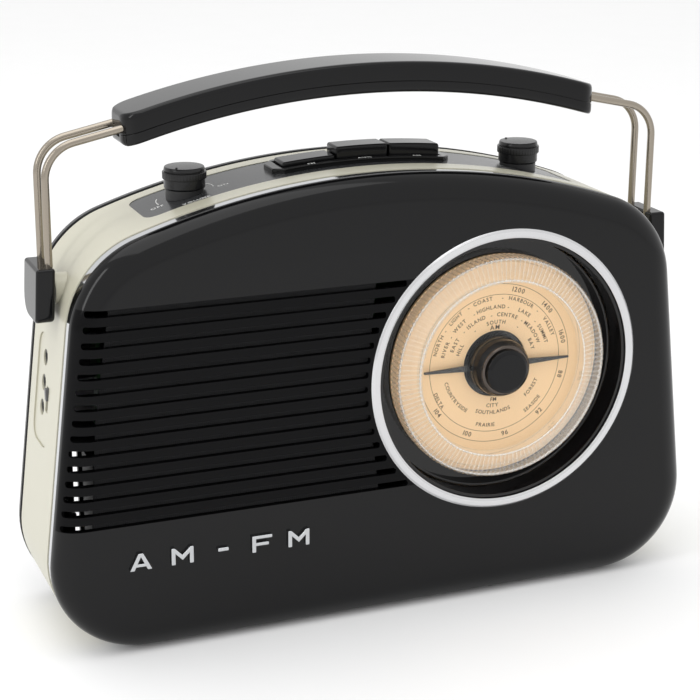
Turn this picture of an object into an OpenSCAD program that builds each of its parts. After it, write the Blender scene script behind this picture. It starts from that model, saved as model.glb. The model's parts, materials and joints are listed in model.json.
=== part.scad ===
/* [Case] */
// Half width of the base, measured where the side line would meet the table
base_half = 142; // [135:0.5:150]
// Half width at shoulder height
shoulder_half = 123.75; // [118:0.25:128]
// Height of the shoulders
shoulder_h = 154.2; // [148:0.1:158]
// Height of the case at its middle, without the feet
case_h = 180.9; // [178:0.1:184]
// Radius of the bottom corners
corner_low_r = 36.3; // [30:0.1:40]
// Radius of the top corners
corner_top_r = 39.8; // [34:0.1:44]
// Wall thickness of the case mouldings
wall = 2.6; // [2:0.1:3]
// Depth of the black front moulding
front_d = 8.2; // [7:0.1:10]
// Width of each chrome trim strip
trim_w = 6.3; // [5:0.1:7]
// Depth of the cream band
band_d = 45.8; // [44:0.1:48]

/* [Grille] */
// Number of slots in the speaker grille
slot_n = 15; // [8:1:15]
// Distance from slot to slot
slot_pitch = 5.95; // [5.5:0.05:6]
// Height of one slot
slot_h = 2.6; // [1.5:0.1:3]

/* [Dial] */
// Distance of the dial centre to the right of the case middle
dial_x = 49.6; // [45:0.1:54]
// Height of the dial centre above the case bottom
dial_z = 97.6; // [90:0.1:105]
// Outer radius of the chrome bezel
bezel_r = 58.7; // [56:0.1:59]
// Width of the chrome bezel
bezel_w = 3.8; // [3:0.1:5]
// Outer radius of the clear tuning ring
ring_r = 46.6; // [42:0.1:48]
// Inner radius of the fluted face of the tuning ring
ring_inner_r = 36.2; // [32:0.1:38]

/* [Controls] */
// Distance of each knob from the case middle
knob_x = 71.7; // [66:0.1:76]
// Radius of the knob's wide band
knob_r = 8.6; // [7:0.1:9]
// Width of one push button
button_w = 21.9; // [18:0.1:22]
// Depth of one push button
button_d = 11.5; // [9:0.1:13]
// Travel of a push button
button_travel = 3; // [2:0.1:3.5]

/* [Handle] */
// Radius of the handle rods
rod_r = 1.5; // [1.2:0.1:1.8]
// Distance of the rods from the case middle
rod_x = 128.3; // [128.2:0.1:129]
// Half length of the grip
grip_half = 99; // [90:1:99]
// Thickness of the grip
grip_t = 12; // [10:0.5:13]
// Width of the grip, front to back
grip_w = 25.4; // [20:0.2:27]

/* [Antenna] */
// Length of the outer antenna tube
antenna_len = 132; // [100:1:135]

/* [Hidden] */
$fn = 48;
big_fn = 180;
eps = 0.01;

// A straight run that meets a curve lies this much inside it, so that the two cross cleanly
tuck = 0.005;

// Feet lift the case off the table
lift = 0.8;
// Planes along the depth, measured from the flat front face
trim_y = front_d;
band_y = front_d + trim_w;
band_end = band_y + band_d;
rear_trim_d = 2.2;
cover_y = band_end + rear_trim_d;
back_y = 73;
shelf_y = 66.5;
cap_front = -3.4;
mid_y = (back_y + cap_front) / 2;

// Outline: leaning sides, two corner radii and a wide arc over the top
lean = atan((base_half - shoulder_half) / shoulder_h);
side_n = [cos(lean), sin(lean)];
side_s = [-sin(lean), cos(lean)];
rise = case_h - shoulder_h;
top_r = (rise * rise + shoulder_half * shoulder_half) / (2 * rise);
top_c = case_h - top_r;
low_c = [base_half - corner_low_r * (1 + side_n[1]) / side_n[0], corner_low_r];
side_p = [base_half, 0] - corner_top_r * side_n;
side_v = side_p - [0, top_c];
side_b = side_v * side_s;
reach = top_r - corner_top_r;
side_t = sqrt(side_b * side_b - side_v * side_v + reach * reach) - side_b;
high_c = side_p + side_t * side_s;
top_a = atan2(high_c[1] - top_c, high_c[0]);
top_u = [cos(top_a), sin(top_a)];

// Rounded front edge: in-plane reach, and the number of steps that form it
edge_in = 10.8;
edge_n = 6;
back_edge_in = 7;
back_edge_n = 4;
trim_in = 0.5;
band_in = 0.2;

// Grille
slot_top = 137.1;
slot_left_top = 121.7;
slot_slant = 0.88;
collar_r = 60;

// Dial
well_y = 11;
well_t = 1.4;
hub_r = 13.4;
hub_ring_r = 10.6;
cap_r = 9.2;
shaft_r = 3;
run = 0.05;

// Control plate and controls
plate_half = 91.2;
plate_y0 = 24;
plate_y1 = 53.6;
plate_t = 1.6;
plate_in = 0.4;
ctrl_y = 38.7;
frame_half = 37.6;
frame_y0 = 29.5;
frame_y1 = 47.9;
frame_rise = 1.6;
button_pitch = 22.4;
button_gap = 0.35;
button_rise = 6.2;
button_foot = 6;
stem_w = 5;
switch_top = 166;
switch_h = 14;
knob_low_r = 8;
knob_z = [174.6, 178.2, 181, 181.4, 183.2];
knob_off_angle = 225;
tone_angle = 118;
pot_r = 8.2;
pot_z = 158.5;
pot_h = 8;

// Handle
grip_out_r = 340.3;
grip_mid_y = mid_y;
seam_r = 332.5;
seam_gap = 0.4;
rod_y = [28.2, 41.4];
rod_bend = 14;
rod_slope = 12;
bend_z = 183.2;
rod_grip_x = 84;
rod_foot_z = 143.5;
block_y0 = 22.8;
block_y1 = 44.5;
block_top = 151;
block_low = 130;
block_curve = 14;
block_in_top = 126.9;
block_in_low = 128;
block_out_top = 134.2;
block_out_low = 135.4;
pivot_y = 32.5;
pivot_z = 141;
pin_r = 2.5;
boss_r = 6;
boss_end = 126.4;
boss_len = 11.4;
pin_head_r = 5;
pin_x = 113;
pin_len = 18.8;

// Ports on the left side
port_y = 42;
port_z = [111, 101, 91];
port_r = 3.15;
slide_y = 35;
slide_z = 96;
slide_half = 1.9;
slide_travel = 5;
panel_y = [29, 52];
panel_z = [77, 120];
panel_r = 6;
panel_recess = 0.5;
panel_lip = 1.2;
lip_t = 1;
socket_nose_x = 125.2;
socket_slant = 0.11;
socket_back_x = 111.6;
jack_r = 1.8;

// Speaker
speaker_x = -62;
speaker_z = 97;
speaker_r = 50;
speaker_y = 5;

// Battery bay for six AA cells
bay_x = [-108, -4];
bay_z = [14, 60];
bay_y = 51;
tray_t = 1.6;
door_t = 2.4;
door_pin_r = 0.8;
door_pivot_y = back_y - door_t / 2;
door_pivot_z = bay_z[0] - 3 + 0.3 + door_t / 2;

// Badge
letter_z = 35.4;
letter_t = 1.5;

// Rear
shelf_z = 140;
antenna_x = 104;
antenna_z = 152;
antenna_y = 70.1;
tube_r = [2.9, 2.2, 1.6, 1.05];
tip_r = 2.9;
inlet_x = 92;
inlet_z = 32;
pin_pitch = 8.6;
inlet_r = 5.2;
foot_x = 92;
foot_y = [23, 52];
foot_r = 7;
screw_at = [[-118, 40, back_y], [118, 40, back_y], [14, 18, back_y], [-86, 160, shelf_y],
    [86, 160, shelf_y]];

// ---------- helpers ----------

// Moves the design frame, whose y = 0 is the front face, to the part's origin
module place() {
    translate([0, -mid_y, lift]) children();
}

// 2D case outline, drawn in by d all round
module outline(d = 0) {
    in = d + tuck;
    high_t = high_c + (corner_top_r - d - 1) * top_u;
    arc_half = high_c[0] + (corner_top_r - d) * top_u[0];
    for (m = [0, 1]) mirror([m, 0]) {
        translate(low_c) circle(corner_low_r - d, $fn = 96);
        translate(high_c) circle(corner_top_r - d, $fn = 96);
        polygon([[-1, in], [low_c[0], in], low_c + (corner_low_r - in) * side_n,
            high_c + (corner_top_r - in) * side_n, high_t, [-1, high_t[1]]]);
    }
    intersection() {
        translate([0, top_c]) circle(top_r - in, $fn = big_fn * 2);
        translate([-arc_half, high_t[1] - 4]) square([2 * arc_half, case_h]);
    }
}

// Extrudes a 2D shape drawn in x, z from depth y0 to depth y1
module deep(y0, y1) {
    translate([0, y1, 0]) rotate([90, 0, 0]) linear_extrude(y1 - y0) children();
}

module slab(y0, y1, d = 0) {
    deep(y0, y1) outline(d);
}

// A cylinder along y
module bar_y(r, y0, y1) {
    translate([0, y1, 0]) rotate([90, 0, 0]) cylinder(h = y1 - y0, r = r);
}

// A profile of [radius, depth] points turned about a line along y
module turned(points) {
    rotate([-90, 0, 0]) rotate_extrude($fn = 96) polygon(points);
}

module box(lo, hi) {
    translate(lo) cube(hi - lo);
}

// Rounded-edge inset at distance t from the face, for an edge of given reach and depth
function edge_inset(t, reach_in, depth) = reach_in * (1 - sqrt(1 - pow((depth - t) / depth, 2)));

// Height of the top arc at x, raised by k
function arc_z(x, k = 0) = top_c + sqrt(pow(top_r + k, 2) - x * x);

// A 2D band between two arcs concentric with the case top
module arc_band(k0, k1, half) {
    intersection() {
        difference() {
            translate([0, top_c]) circle(top_r + k1, $fn = big_fn * 2);
            translate([0, top_c]) circle(top_r + k0, $fn = big_fn * 2);
        }
        translate([-half, 100]) square([2 * half, 150]);
    }
}

// Rounded rectangle in plan
module plan_round(x0, y0, x1, y1, r) {
    for (x = [x0 + r, x1 - r]) for (y = [y0 + r, y1 - r]) translate([x, y]) circle(r);
    translate([x0 + r, y0 + tuck]) square([x1 - x0 - 2 * r, y1 - y0 - 2 * tuck]);
    translate([x0 + tuck, y0 + r]) square([x1 - x0 - 2 * tuck, y1 - y0 - 2 * r]);
}

module both_sides() {
    for (m = [0, 1]) mirror([m, 0, 0]) children();
}

// ---------- case ----------

module front_body() {
    for (i = [0:edge_n - 1]) {
        t = front_d * i / edge_n;
        slab(t, front_d, edge_inset(t + front_d / edge_n / 2, edge_in, front_d));
    }
}

module front_hollow() {
    for (i = [0:edge_n - 1]) {
        t = front_d * i / edge_n;
        slab(min(t + wall, front_d - eps), front_d + 1,
            wall + edge_inset(t + front_d / edge_n / 2, edge_in, front_d));
    }
}

module grille_slots() {
    difference() {
        for (k = [0:slot_n - 1]) {
            z = slot_top - slot_pitch * k;
            box([-slot_left_top - slot_slant * k, -1, z], [dial_x, 5.6, z + slot_h]);
        }
        translate([dial_x, 0, dial_z]) bar_y(collar_r, -2, 7);
    }
}

// Cylinders on the screw axes between two fixed depths
module screw_posts(y0, y1, r) {
    for (p = screw_at) translate([p[0], 0, p[1]]) bar_y(r, y0, y1);
}

// Cylinders on the screw axes, from y_in inside the local rear face to y_out past it
module screw_heads(y_in, y_out, r) {
    for (p = screw_at) translate([p[0], 0, p[1]]) bar_y(r, p[2] - y_in, p[2] + y_out);
}

module front_shell() {
    color("#141416") difference() {
        union() {
            difference() {
                front_body();
                front_hollow();
            }
            intersection() {
                screw_posts(wall - 0.1, 60, 3.4);
                slab(0, 60, wall);
            }
        }
        grille_slots();
        translate([dial_x, 0, dial_z]) bar_y(bezel_r - bezel_w, -1, 10);
        screw_posts(50, 61, 1.3);
    }
}

module case_ring(y0, y1, d) {
    difference() {
        slab(y0, y1, d);
        slab(y0 - 1, y1 + 1, d + wall);
    }
}

module front_trim() {
    color("silver") case_ring(trim_y, band_y, trim_in);
}

module rear_trim() {
    color("silver") case_ring(band_end, cover_y, trim_in);
}

module plate_plan(grow = 0) {
    plan_round(-plate_half - grow, plate_y0 - grow, plate_half + grow, plate_y1 + grow, 6 + grow);
}

module button_windows(clear, z0) {
    for (i = [-1:1]) {
        x = i * button_pitch;
        box([x - button_w / 2 - clear, ctrl_y - button_d / 2 - clear, z0],
            [x + button_w / 2 + clear, ctrl_y + button_d / 2 + clear, 200]);
    }
}

module case_band() {
    color("#e9e3d0") difference() {
        union() {
            case_ring(band_y, band_end, band_in);
            both_sides() pivot_boss();
        }
        // Recess that the control plate lies in
        intersection() {
            deep(0, 70) arc_band(-plate_in - plate_t, 20, 110);
            translate([0, 0, 100]) linear_extrude(120) plate_plan();
        }
        frame_collar(0.02, 150);
        for (s = [-1, 1]) translate([s * knob_x, ctrl_y, 150]) cylinder(r = 5, h = 40);
        panel_opening(0);
        both_sides() pivot_bore();
    }
}

// ---------- rear ----------

module cover_body() {
    depth = back_y - cover_y;
    for (i = [0:back_edge_n - 1]) {
        t = depth * i / back_edge_n;
        slab(cover_y, back_y - t, edge_inset(t + depth / back_edge_n / 2, back_edge_in, depth));
    }
}

module shelf_cut() {
    box([-160, shelf_y, shelf_z], [160, back_y + 1, 200]);
}

module door_plan(grow = 0) {
    translate([bay_x[0] - 3 - grow, bay_z[0] - 3 - grow])
        square([bay_x[1] - bay_x[0] + 6 + 2 * grow, bay_z[1] - bay_z[0] + 6 + 2 * grow]);
}

module inlet_plan(grow = 0) {
    for (s = [-1, 1]) translate([inlet_x + s * pin_pitch / 2, inlet_z]) circle(inlet_r + grow);
    translate([inlet_x - pin_pitch / 2, inlet_z - inlet_r - grow])
        square([pin_pitch, 2 * (inlet_r + grow)]);
}

module rear_cover() {
    color("#18181a") difference() {
        union() {
            door_frame();
            difference() {
                cover_body();
                difference() {
                    slab(cover_y - 1, back_y - wall, back_edge_in + wall);
                    box([-160, shelf_y - wall, shelf_z - wall], [160, back_y, 200]);
                }
                slab(cover_y - 1, cover_y + 1.2, wall);
            }
            for (p = screw_at) translate([p[0], 0, p[1]]) bar_y(4.4, 60.1, p[2] - 1);
        }
        shelf_cut();
        deep(back_y - door_t, back_y + 1) door_plan();
        hinge_bar(door_pin_r + run, 2.6);
        deep(cover_y - 1, back_y + 1) translate([bay_x[0], bay_z[0]])
            square([bay_x[1] - bay_x[0], bay_z[1] - bay_z[0]]);
        deep(cover_y - 1, back_y + 1) inlet_plan(1.2);
        screw_posts(60, back_y + 1, 1.7);
        screw_heads(3.5, 10, 3.1);
        vent_slots();
        translate([antenna_x, 0, antenna_z]) bar_y(2, 60, shelf_y + 1);
    }
}

module vent_slots() {
    for (i = [0:6]) box([20 + i * 8, back_y - wall - 1, 84], [23 + i * 8, back_y + 1, 122]);
}

// Thick frame behind the door, with the seat that the door closes on
module door_frame() {
    deep(back_y - door_t - wall - 0.4, back_y - 1) door_plan(2);
}

// The line that the door swings about, as a bar that sticks out past each end by the given length
module hinge_bar(r, past) {
    x0 = bay_x[0] - 3 + 0.3 - past;
    translate([x0, door_pivot_y, door_pivot_z]) rotate([0, 90, 0])
        cylinder(r = r, h = bay_x[1] - bay_x[0] + 5.4 + 2 * past);
}

module battery_door() {
    color("#1c1c1e") {
        difference() {
            intersection() {
                deep(back_y - door_t + 0.05, back_y - 0.05) door_plan(-0.3);
                box([-200, 0, door_pivot_z], [0, 100, 200]);
            }
            for (i = [0:4]) box([-62 + i * 3.2, back_y - 0.6, 52], [-60.6 + i * 3.2, back_y + 1, 60]);
        }
        hinge_bar(door_t / 2 - 0.05, 0);
        hinge_bar(door_pin_r, 2.2);
    }
}

module battery_tray() {
    color("#2a2a2c") difference() {
        box([bay_x[0] - tray_t, bay_y - tray_t, bay_z[0] - tray_t],
            [bay_x[1] + tray_t, back_y - door_t - wall - 0.4, bay_z[1] + tray_t]);
        box([bay_x[0], bay_y, bay_z[0]], [bay_x[1], back_y, bay_z[1]]);
    }
}

module battery_contacts() {
    color("silver") for (row = [0:2]) {
        z = bay_z[0] + 7.7 + row * 15.3;
        for (s = [0, 1]) {
            x = bay_x[s] + (s == 0 ? 0 : -0.5);
            box([x, bay_y + 2, z - 5], [x + 0.5, bay_y + 14, z + 5]);
        }
        translate([bay_x[1] - 0.5, bay_y + 8, z]) rotate([0, -90, 0]) cylinder(r1 = 4, r2 = 2.4, h = 5);
        translate([bay_x[0] + 0.5, bay_y + 8, z]) rotate([0, 90, 0]) cylinder(r = 2.6, h = 1);
    }
}

module mains_inlet() {
    color("#202022") {
        difference() {
            deep(60, back_y - 0.6) inlet_plan(1.2);
            deep(62, back_y) inlet_plan();
        }
        for (s = [-1, 1]) translate([inlet_x + s * pin_pitch / 2, 0, inlet_z]) {
            bar_y(1.2, 61.9, back_y - 2);
            bar_y(1.5, 55, 60.1);
        }
    }
}

// ---------- top controls ----------

module control_plate() {
    color("#77787c") difference() {
        intersection() {
            deep(10, 70) arc_band(-plate_in - plate_t, -plate_in, 110);
            translate([0, 0, 100]) linear_extrude(120) plate_plan(-0.02);
        }
        frame_collar(0.02, 150);
        for (s = [-1, 1]) translate([s * knob_x, ctrl_y, 150]) cylinder(r = 5, h = 40);
    }
}

// The part of the button frame that passes down through the plate and the band
module frame_collar(clear, z0) {
    x = 1.5 * button_pitch + 1.4 + clear;
    y = button_d / 2 + 2 + clear;
    box([-x, ctrl_y - y, z0], [x, ctrl_y + y, 200]);
}

module button_frame() {
    cham = 4;
    color("#101012") difference() {
        union() {
            intersection() {
                deep(10, 70) arc_band(-plate_in, frame_rise, 50);
                translate([0, 0, 100]) linear_extrude(120) polygon([
                    [-frame_half, frame_y0 + cham], [-frame_half + cham, frame_y0],
                    [frame_half - cham, frame_y0], [frame_half, frame_y0 + cham],
                    [frame_half, frame_y1 - cham], [frame_half - cham, frame_y1],
                    [-frame_half + cham, frame_y1], [-frame_half, frame_y1 - cham]]);
            }
            intersection() {
                frame_collar(0, 150);
                deep(10, 70) arc_band(-8, 0, 50);
            }
        }
        button_windows(button_gap, 140);
    }
}

// One key: its top follows the case arc; a foot and a stem run down into the switch
module key(i, down) {
    x = i * button_pitch;
    color("#121214") translate([0, 0, -down]) {
        intersection() {
            deep(10, 70) arc_band(-button_foot, button_rise, 50);
            translate([0, 0, 100]) linear_extrude(120)
                plan_round(x - button_w / 2, ctrl_y - button_d / 2,
                    x + button_w / 2, ctrl_y + button_d / 2, 1);
        }
        box([x - stem_w / 2, ctrl_y - stem_w / 2, switch_top - 7],
            [x + stem_w / 2, ctrl_y + stem_w / 2, arc_z(x, -button_foot) + 0.6]);
    }
}

module fm_button() {
    key(-1, button_travel);
}

module aux_button() {
    key(0, 0);
}

module am_button() {
    key(1, 0);
}

module band_switch() {
    h = 1.5 * button_pitch + 2;
    color("#b9b9a8") difference() {
        box([-h, ctrl_y - 9, switch_top - switch_h], [h, ctrl_y + 9, switch_top]);
        for (i = [-1:1]) translate([i * button_pitch, ctrl_y, 0])
            box([-stem_w / 2 - 0.4, -stem_w / 2 - 0.4, switch_top - 11],
                [stem_w / 2 + 0.4, stem_w / 2 + 0.4, 200]);
    }
}

module knob_collars() {
    color("#0e0e10") for (s = [-1, 1]) difference() {
        translate([s * knob_x, ctrl_y, 168]) cylinder(r = 7.4, h = knob_z[0] - 0.35 - 168);
        deep(10, 70) translate([0, top_c]) circle(top_r - plate_in, $fn = big_fn * 2);
        translate([s * knob_x, ctrl_y, 150]) cylinder(r = 3.6, h = 40);
    }
}

// Knob: ribbed foot, wide band, groove and a cap with a raised index dot
module knob(x, dot_a) {
    color("#151517") translate([x, ctrl_y, 0]) {
        difference() {
            rotate_extrude($fn = 64) polygon([[0, knob_z[0]], [knob_low_r, knob_z[0]],
                [knob_low_r, knob_z[1]], [knob_r, knob_z[1]], [knob_r, knob_z[2]],
                [knob_low_r - 0.5, knob_z[2]], [knob_low_r - 0.5, knob_z[3]], [knob_low_r, knob_z[3]],
                [knob_low_r, knob_z[3] + 0.8], [knob_low_r - 0.8, knob_z[4] - 0.4], [0, knob_z[4]]]);
            translate([0, 0, knob_z[0] - 1]) cylinder(r = shaft_r, h = 7);
        }
        rotate(dot_a) translate([knob_low_r - 1.8, 0, knob_z[4] - 1]) cylinder(r = 0.45, h = 1.2);
    }
}

module volume_knob() {
    knob(-knob_x, knob_off_angle);
}

module tone_knob() {
    knob(knob_x, tone_angle);
}

module pot_shaft(x) {
    z = pot_z + 1.5;
    color("silver") translate([x, ctrl_y, z]) cylinder(r = shaft_r, h = knob_z[0] + 6 - z);
}

module volume_shaft() {
    pot_shaft(-knob_x);
}

module tone_shaft() {
    pot_shaft(knob_x);
}

module pot(x) {
    color("#8d8f92") difference() {
        union() {
            translate([x, ctrl_y, pot_z]) cylinder(r = pot_r, h = pot_h);
            translate([x, ctrl_y, pot_z + pot_h - eps]) cylinder(r = 4.4, h = 2.6);
            box([x - 7, ctrl_y - 13, pot_z + 1], [x + 7, ctrl_y, pot_z + 2.6]);
        }
        translate([x, ctrl_y, pot_z + 1.4]) cylinder(r = shaft_r + run, h = 30);
    }
}

module volume_pot() {
    pot(-knob_x);
}

module tone_pot() {
    pot(knob_x);
}

// ---------- dial ----------

module at_dial() {
    translate([dial_x, 0, dial_z]) children();
}

module dial_bezel() {
    r0 = bezel_r - bezel_w;
    color("#d8d8da") at_dial() turned([[r0, -0.7], [r0 + 0.6, -1.1], [bezel_r - 0.6, -1.1],
        [bezel_r, -0.5], [bezel_r, -eps], [r0, -eps]]);
}

module dial_well() {
    r = bezel_r - bezel_w - run;
    color("#0c0c0e") at_dial() turned([[r, 0], [r, well_y + well_t], [shaft_r + 4, well_y + well_t],
        [shaft_r + 4, well_y + 5], [shaft_r + run, well_y + 5], [shaft_r + run, well_y],
        [r - well_t, well_y], [r - well_t, 0]]);
}

module dial_scale() {
    color("#d9b48a") at_dial() turned([[hub_r + 0.6, well_y - 1.2], [ring_r - 0.4, well_y - 1.2],
        [ring_r - 0.4, well_y - eps], [hub_r + 0.6, well_y - eps]]);
}

// Clear ring with a fluted rim, and the clear web that carries it
module tuning_ring() {
    color("#e8eef0", 0.6) at_dial() turned([[hub_r - 1, 5.2], [ring_inner_r, 5.2], [ring_inner_r, 1],
        [ring_inner_r + 0.6, 0.6], [ring_r - 2, 1.6], [ring_r, 3.4], [ring_r, 9.2], [ring_r - 3, 9.2],
        [ring_r - 3, 6.6], [hub_r - 1, 6.6]]);
}

module dial_pointer() {
    tip = 32.6;
    color("#0a0a0a") at_dial() deep(7.2, 8.2) difference() {
        polygon([[-tip, -0.35], [-hub_r, -1.3], [hub_r, -1.3], [tip, -0.35], [tip, 0.35],
            [hub_r, 1.3], [-hub_r, 1.3], [-tip, 0.35]]);
        circle(hub_r - 1);
    }
}

module tuning_hub() {
    color("#1a1a1b") at_dial() difference() {
        turned([[0, 0.4], [hub_r - 1, 0.4], [hub_r, 1.2], [hub_r, 5.2], [hub_r - 1, 5.2],
            [hub_r - 1, 9.4], [0, 9.4]]);
        bar_y(shaft_r, 4, 10);
    }
}

module hub_ring() {
    color("#dfe3e6") at_dial() turned([[0, -0.9], [hub_ring_r - 0.5, -0.9], [hub_ring_r, -0.4],
        [hub_ring_r, 0.38], [0, 0.38]]);
}

module hub_cap() {
    color("#060607") at_dial() turned([[0, cap_front], [cap_r - 1, cap_front + 0.3],
        [cap_r, cap_front + 1.2], [cap_r, -0.92], [0, -0.92]]);
}

module tuning_shaft() {
    color("silver") at_dial() bar_y(shaft_r, 4, 36);
}

// Variable capacitor: a frame with half-round plates that mesh with the rotor
module tuning_capacitor() {
    color("#a9acae") at_dial() difference() {
        union() {
            for (y = [17, 38]) box([-14, y, -16], [14, y + 1.6, 14]);
            box([-14, 17, -16], [14, 39.6, -14.4]);
            for (i = [0:3]) box([-13, 20.3 + i * 4, -14.5], [13, 20.9 + i * 4, -3.6]);
            for (s = [-1, 1]) translate([s * 11, 0, -9]) bar_y(0.8, 17.1, 39.5);
            for (s = [-1, 1]) translate([s * 11, 0, -12]) bar_y(1.6, 39.5, 43);
        }
        bar_y(shaft_r + run, 16, 19);
        bar_y(1.5 + run, 37.5, 41);
    }
}

module tuning_rotor() {
    color("#c3c7ca") at_dial() {
        bar_y(1.5, 36, 41);
        difference() {
            for (i = [0:3]) intersection() {
                bar_y(11, 22.3 + i * 4, 22.9 + i * 4);
                box([-12, 20, 0], [12, 40, 12]);
            }
            bar_y(shaft_r, 20, 40);
        }
    }
}

// ---------- speaker ----------

module at_speaker() {
    translate([speaker_x, 0, speaker_z]) children();
}

module grille_cloth() {
    color("#232325") difference() {
        deep(wall + 0.02, wall + 0.6) polygon([[-112, 143], [-6, 143], [-10, 97], [-4, 50], [-122, 50],
            [-119, 97]]);
        at_dial() bar_y(collar_r, 0, 6);
    }
}

module speaker_basket() {
    color("#5b5d60") at_speaker() difference() {
        turned([[speaker_r - 8, speaker_y], [speaker_r - 3, speaker_y],
            [speaker_r - 3, wall + 0.62], [speaker_r, wall + 0.62], [speaker_r, speaker_y + 1.6],
            [speaker_r - 3, speaker_y + 5], [30, speaker_y + 24], [30, speaker_y + 25.4],
            [11, speaker_y + 25.4], [11, speaker_y + 24], [27, speaker_y + 23],
            [speaker_r - 8, speaker_y + 4]]);
        for (a = [0:60:300]) rotate([0, a, 0]) box([20, speaker_y + 6, -9], [43, speaker_y + 22, 9]);
    }
}

module speaker_cone() {
    color("#2e2b28") at_speaker() turned([
        [speaker_r - 8.4, speaker_y - 0.6], [speaker_r - 6, speaker_y - 1.4],
        [speaker_r - 3.4, speaker_y - 0.6], [speaker_r - 3.4, speaker_y - eps],
        [speaker_r - 8.2, speaker_y - eps], [speaker_r - 9.4, speaker_y + 0.8], [11, speaker_y + 16.4],
        [10.2, speaker_y + 26], [9.6, speaker_y + 26], [9.6, speaker_y + 15], [5, speaker_y + 12.4],
        [0, speaker_y + 11.6], [0, speaker_y + 11], [5.4, speaker_y + 11.8], [10.4, speaker_y + 14.2]]);
}

module speaker_magnet() {
    color("#3c3c40") at_speaker() difference() {
        bar_y(26, speaker_y + 25.4, speaker_y + 39);
        difference() {
            bar_y(10.8, speaker_y + 25, speaker_y + 34);
            bar_y(9, speaker_y + 24, speaker_y + 35);
        }
    }
}

// ---------- electronics ----------

module main_board() {
    color("#4d6b3a") difference() {
        box([-2, 43, 66], [104, 44.6, 142]);
        for (p = [[2, 70], [100, 70], [2, 138], [100, 138]]) translate([p[0], 0, p[1]]) bar_y(1.6, 42, 46);
    }
}

module board_parts() {
    color("#3a3f45") {
        for (i = [0:4]) translate([16 + i * 15, 0, 82]) bar_y(3.5 + (i % 2), 44.6, 55);
        for (i = [0:3]) box([22 + i * 18, 44.6, 100], [32 + i * 18, 50, 110]);
        box([10, 44.6, 122], [34, 48, 130]);
    }
    color("#b02c22") for (i = [0:5]) box([44 + i * 8, 44.6, 122], [48 + i * 8, 47, 133]);
}

module ferrite_rod() {
    color("#3d3a3c") translate([-58, 54, 154]) rotate([0, 90, 0]) cylinder(r = 4, h = 84);
}

module antenna_coil() {
    color("#a8552a") for (x = [-44, -2]) translate([x, 54, 154]) rotate([0, 90, 0]) difference() {
        cylinder(r = 5.6, h = 18);
        translate([0, 0, -1]) cylinder(r = 4, h = 20);
    }
}

module rod_clips() {
    color("#d8d4c6") for (x = [-56, 20]) difference() {
        box([x, 49, 149], [x + 4, 59.6, arc_z(x, -wall - 2.2)]);
        translate([x - 1, 54, 154]) rotate([0, 90, 0]) cylinder(r = 4, h = 6);
    }
}

module transformer() {
    color("#7c6f5a") {
        box([46, 28, 14], [84, 36, 50]);
        box([46, 36, 14], [84, 54, 22]);
        box([46, 36, 42], [84, 54, 50]);
        box([46, 54, 14], [84, 57, 50]);
        box([50, 36, 22], [80, 54, 42]);
    }
}

// ---------- side ports ----------

// Round holes for the jack plugs and a slot for the slide switch
module port_holes(r, reach_x) {
    for (z = port_z) translate([-reach_x, port_y, z]) rotate([0, 90, 0]) cylinder(r = r, h = 40);
    box([-reach_x, slide_y - slide_half, slide_z - slide_travel],
        [-reach_x + 40, slide_y + slide_half, slide_z + slide_travel]);
}

// Window in the left wall, with rounded corners
module panel_opening(grow) {
    span_y = panel_y[1] - panel_y[0] + 2 * grow;
    span_z = panel_z[1] - panel_z[0] + 2 * grow;
    r = panel_r + grow;
    translate([-150, panel_y[0] - grow, panel_z[0] - grow]) rotate([90, 0, 90]) linear_extrude(40) {
        translate([r, 0]) square([span_y - 2 * r, span_z]);
        translate([0, r]) square([span_y, span_z - 2 * r]);
        for (y = [r, span_y - r], z = [r, span_z - r]) translate([y, z]) circle(r);
    }
}

// Plate that fills the window, held by a lip behind the wall
module port_panel() {
    back = band_in + wall;
    color("#e9e3d0") difference() {
        union() {
            intersection() {
                panel_opening(0);
                panel_sheet(band_in + panel_recess, back + lip_t);
            }
            intersection() {
                panel_opening(panel_lip);
                panel_sheet(back, back + lip_t);
            }
        }
        port_holes(port_r, 150);
    }
}

// Sheet that follows the side of the case between two depths below its surface
module panel_sheet(d0, d1) {
    difference() {
        slab(panel_y[0] - 3, panel_y[1] + 3, d0);
        slab(panel_y[0] - 4, panel_y[1] + 4, d1);
    }
}

module port_board() {
    color("#4d6b3a") box([-111.6, 28, 84], [-110, 50, 120]);
}

module port_sockets() {
    color("#8e9094") for (z = port_z) translate([0, port_y, z]) difference() {
        union() {
            box([-122, -4.4, -4.4], [-socket_back_x, 4.4, 4.4]);
            translate([-socket_nose_x - (port_z[0] - z) * socket_slant, 0, 0]) rotate([0, 90, 0])
                cylinder(r = 3, h = 6);
        }
        translate([-140, 0, 0]) rotate([0, 90, 0]) cylinder(r = jack_r, h = 27);
    }
}

module slide_switch() {
    color("#8e9094") difference() {
        box([-124.4, slide_y - 2.6, slide_z - 8], [-111.6, slide_y + 2.3, slide_z + 8]);
        box([-130, slide_y - 1.4, slide_z - 5], [-120, slide_y + 1.4, slide_z + 5]);
    }
}

module slide_knob() {
    color("#6b6c6e") {
        box([-130.6, slide_y - 1.1, slide_z - 0.3], [-121, slide_y + 1.1, slide_z + 4.7]);
    }
}

// ---------- handle ----------

// Stretch of the arcs that the grip's plan then trims to length
module grip_region() {
    translate([-grip_half - 2, 150]) square([2 * grip_half + 4, 100]);
}

module grip_arc(r0, r1) {
    intersection() {
        difference() {
            translate([0, top_c]) circle(r1, $fn = big_fn * 2);
            translate([0, top_c]) circle(r0, $fn = big_fn * 2);
        }
        grip_region();
    }
}

module grip_plan(d = 0) {
    translate([0, 0, 150]) linear_extrude(100) plan_round(-grip_half + d, grip_mid_y - grip_w / 2 + d,
        grip_half - d, grip_mid_y + grip_w / 2 - d, 5 - d);
}

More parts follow.
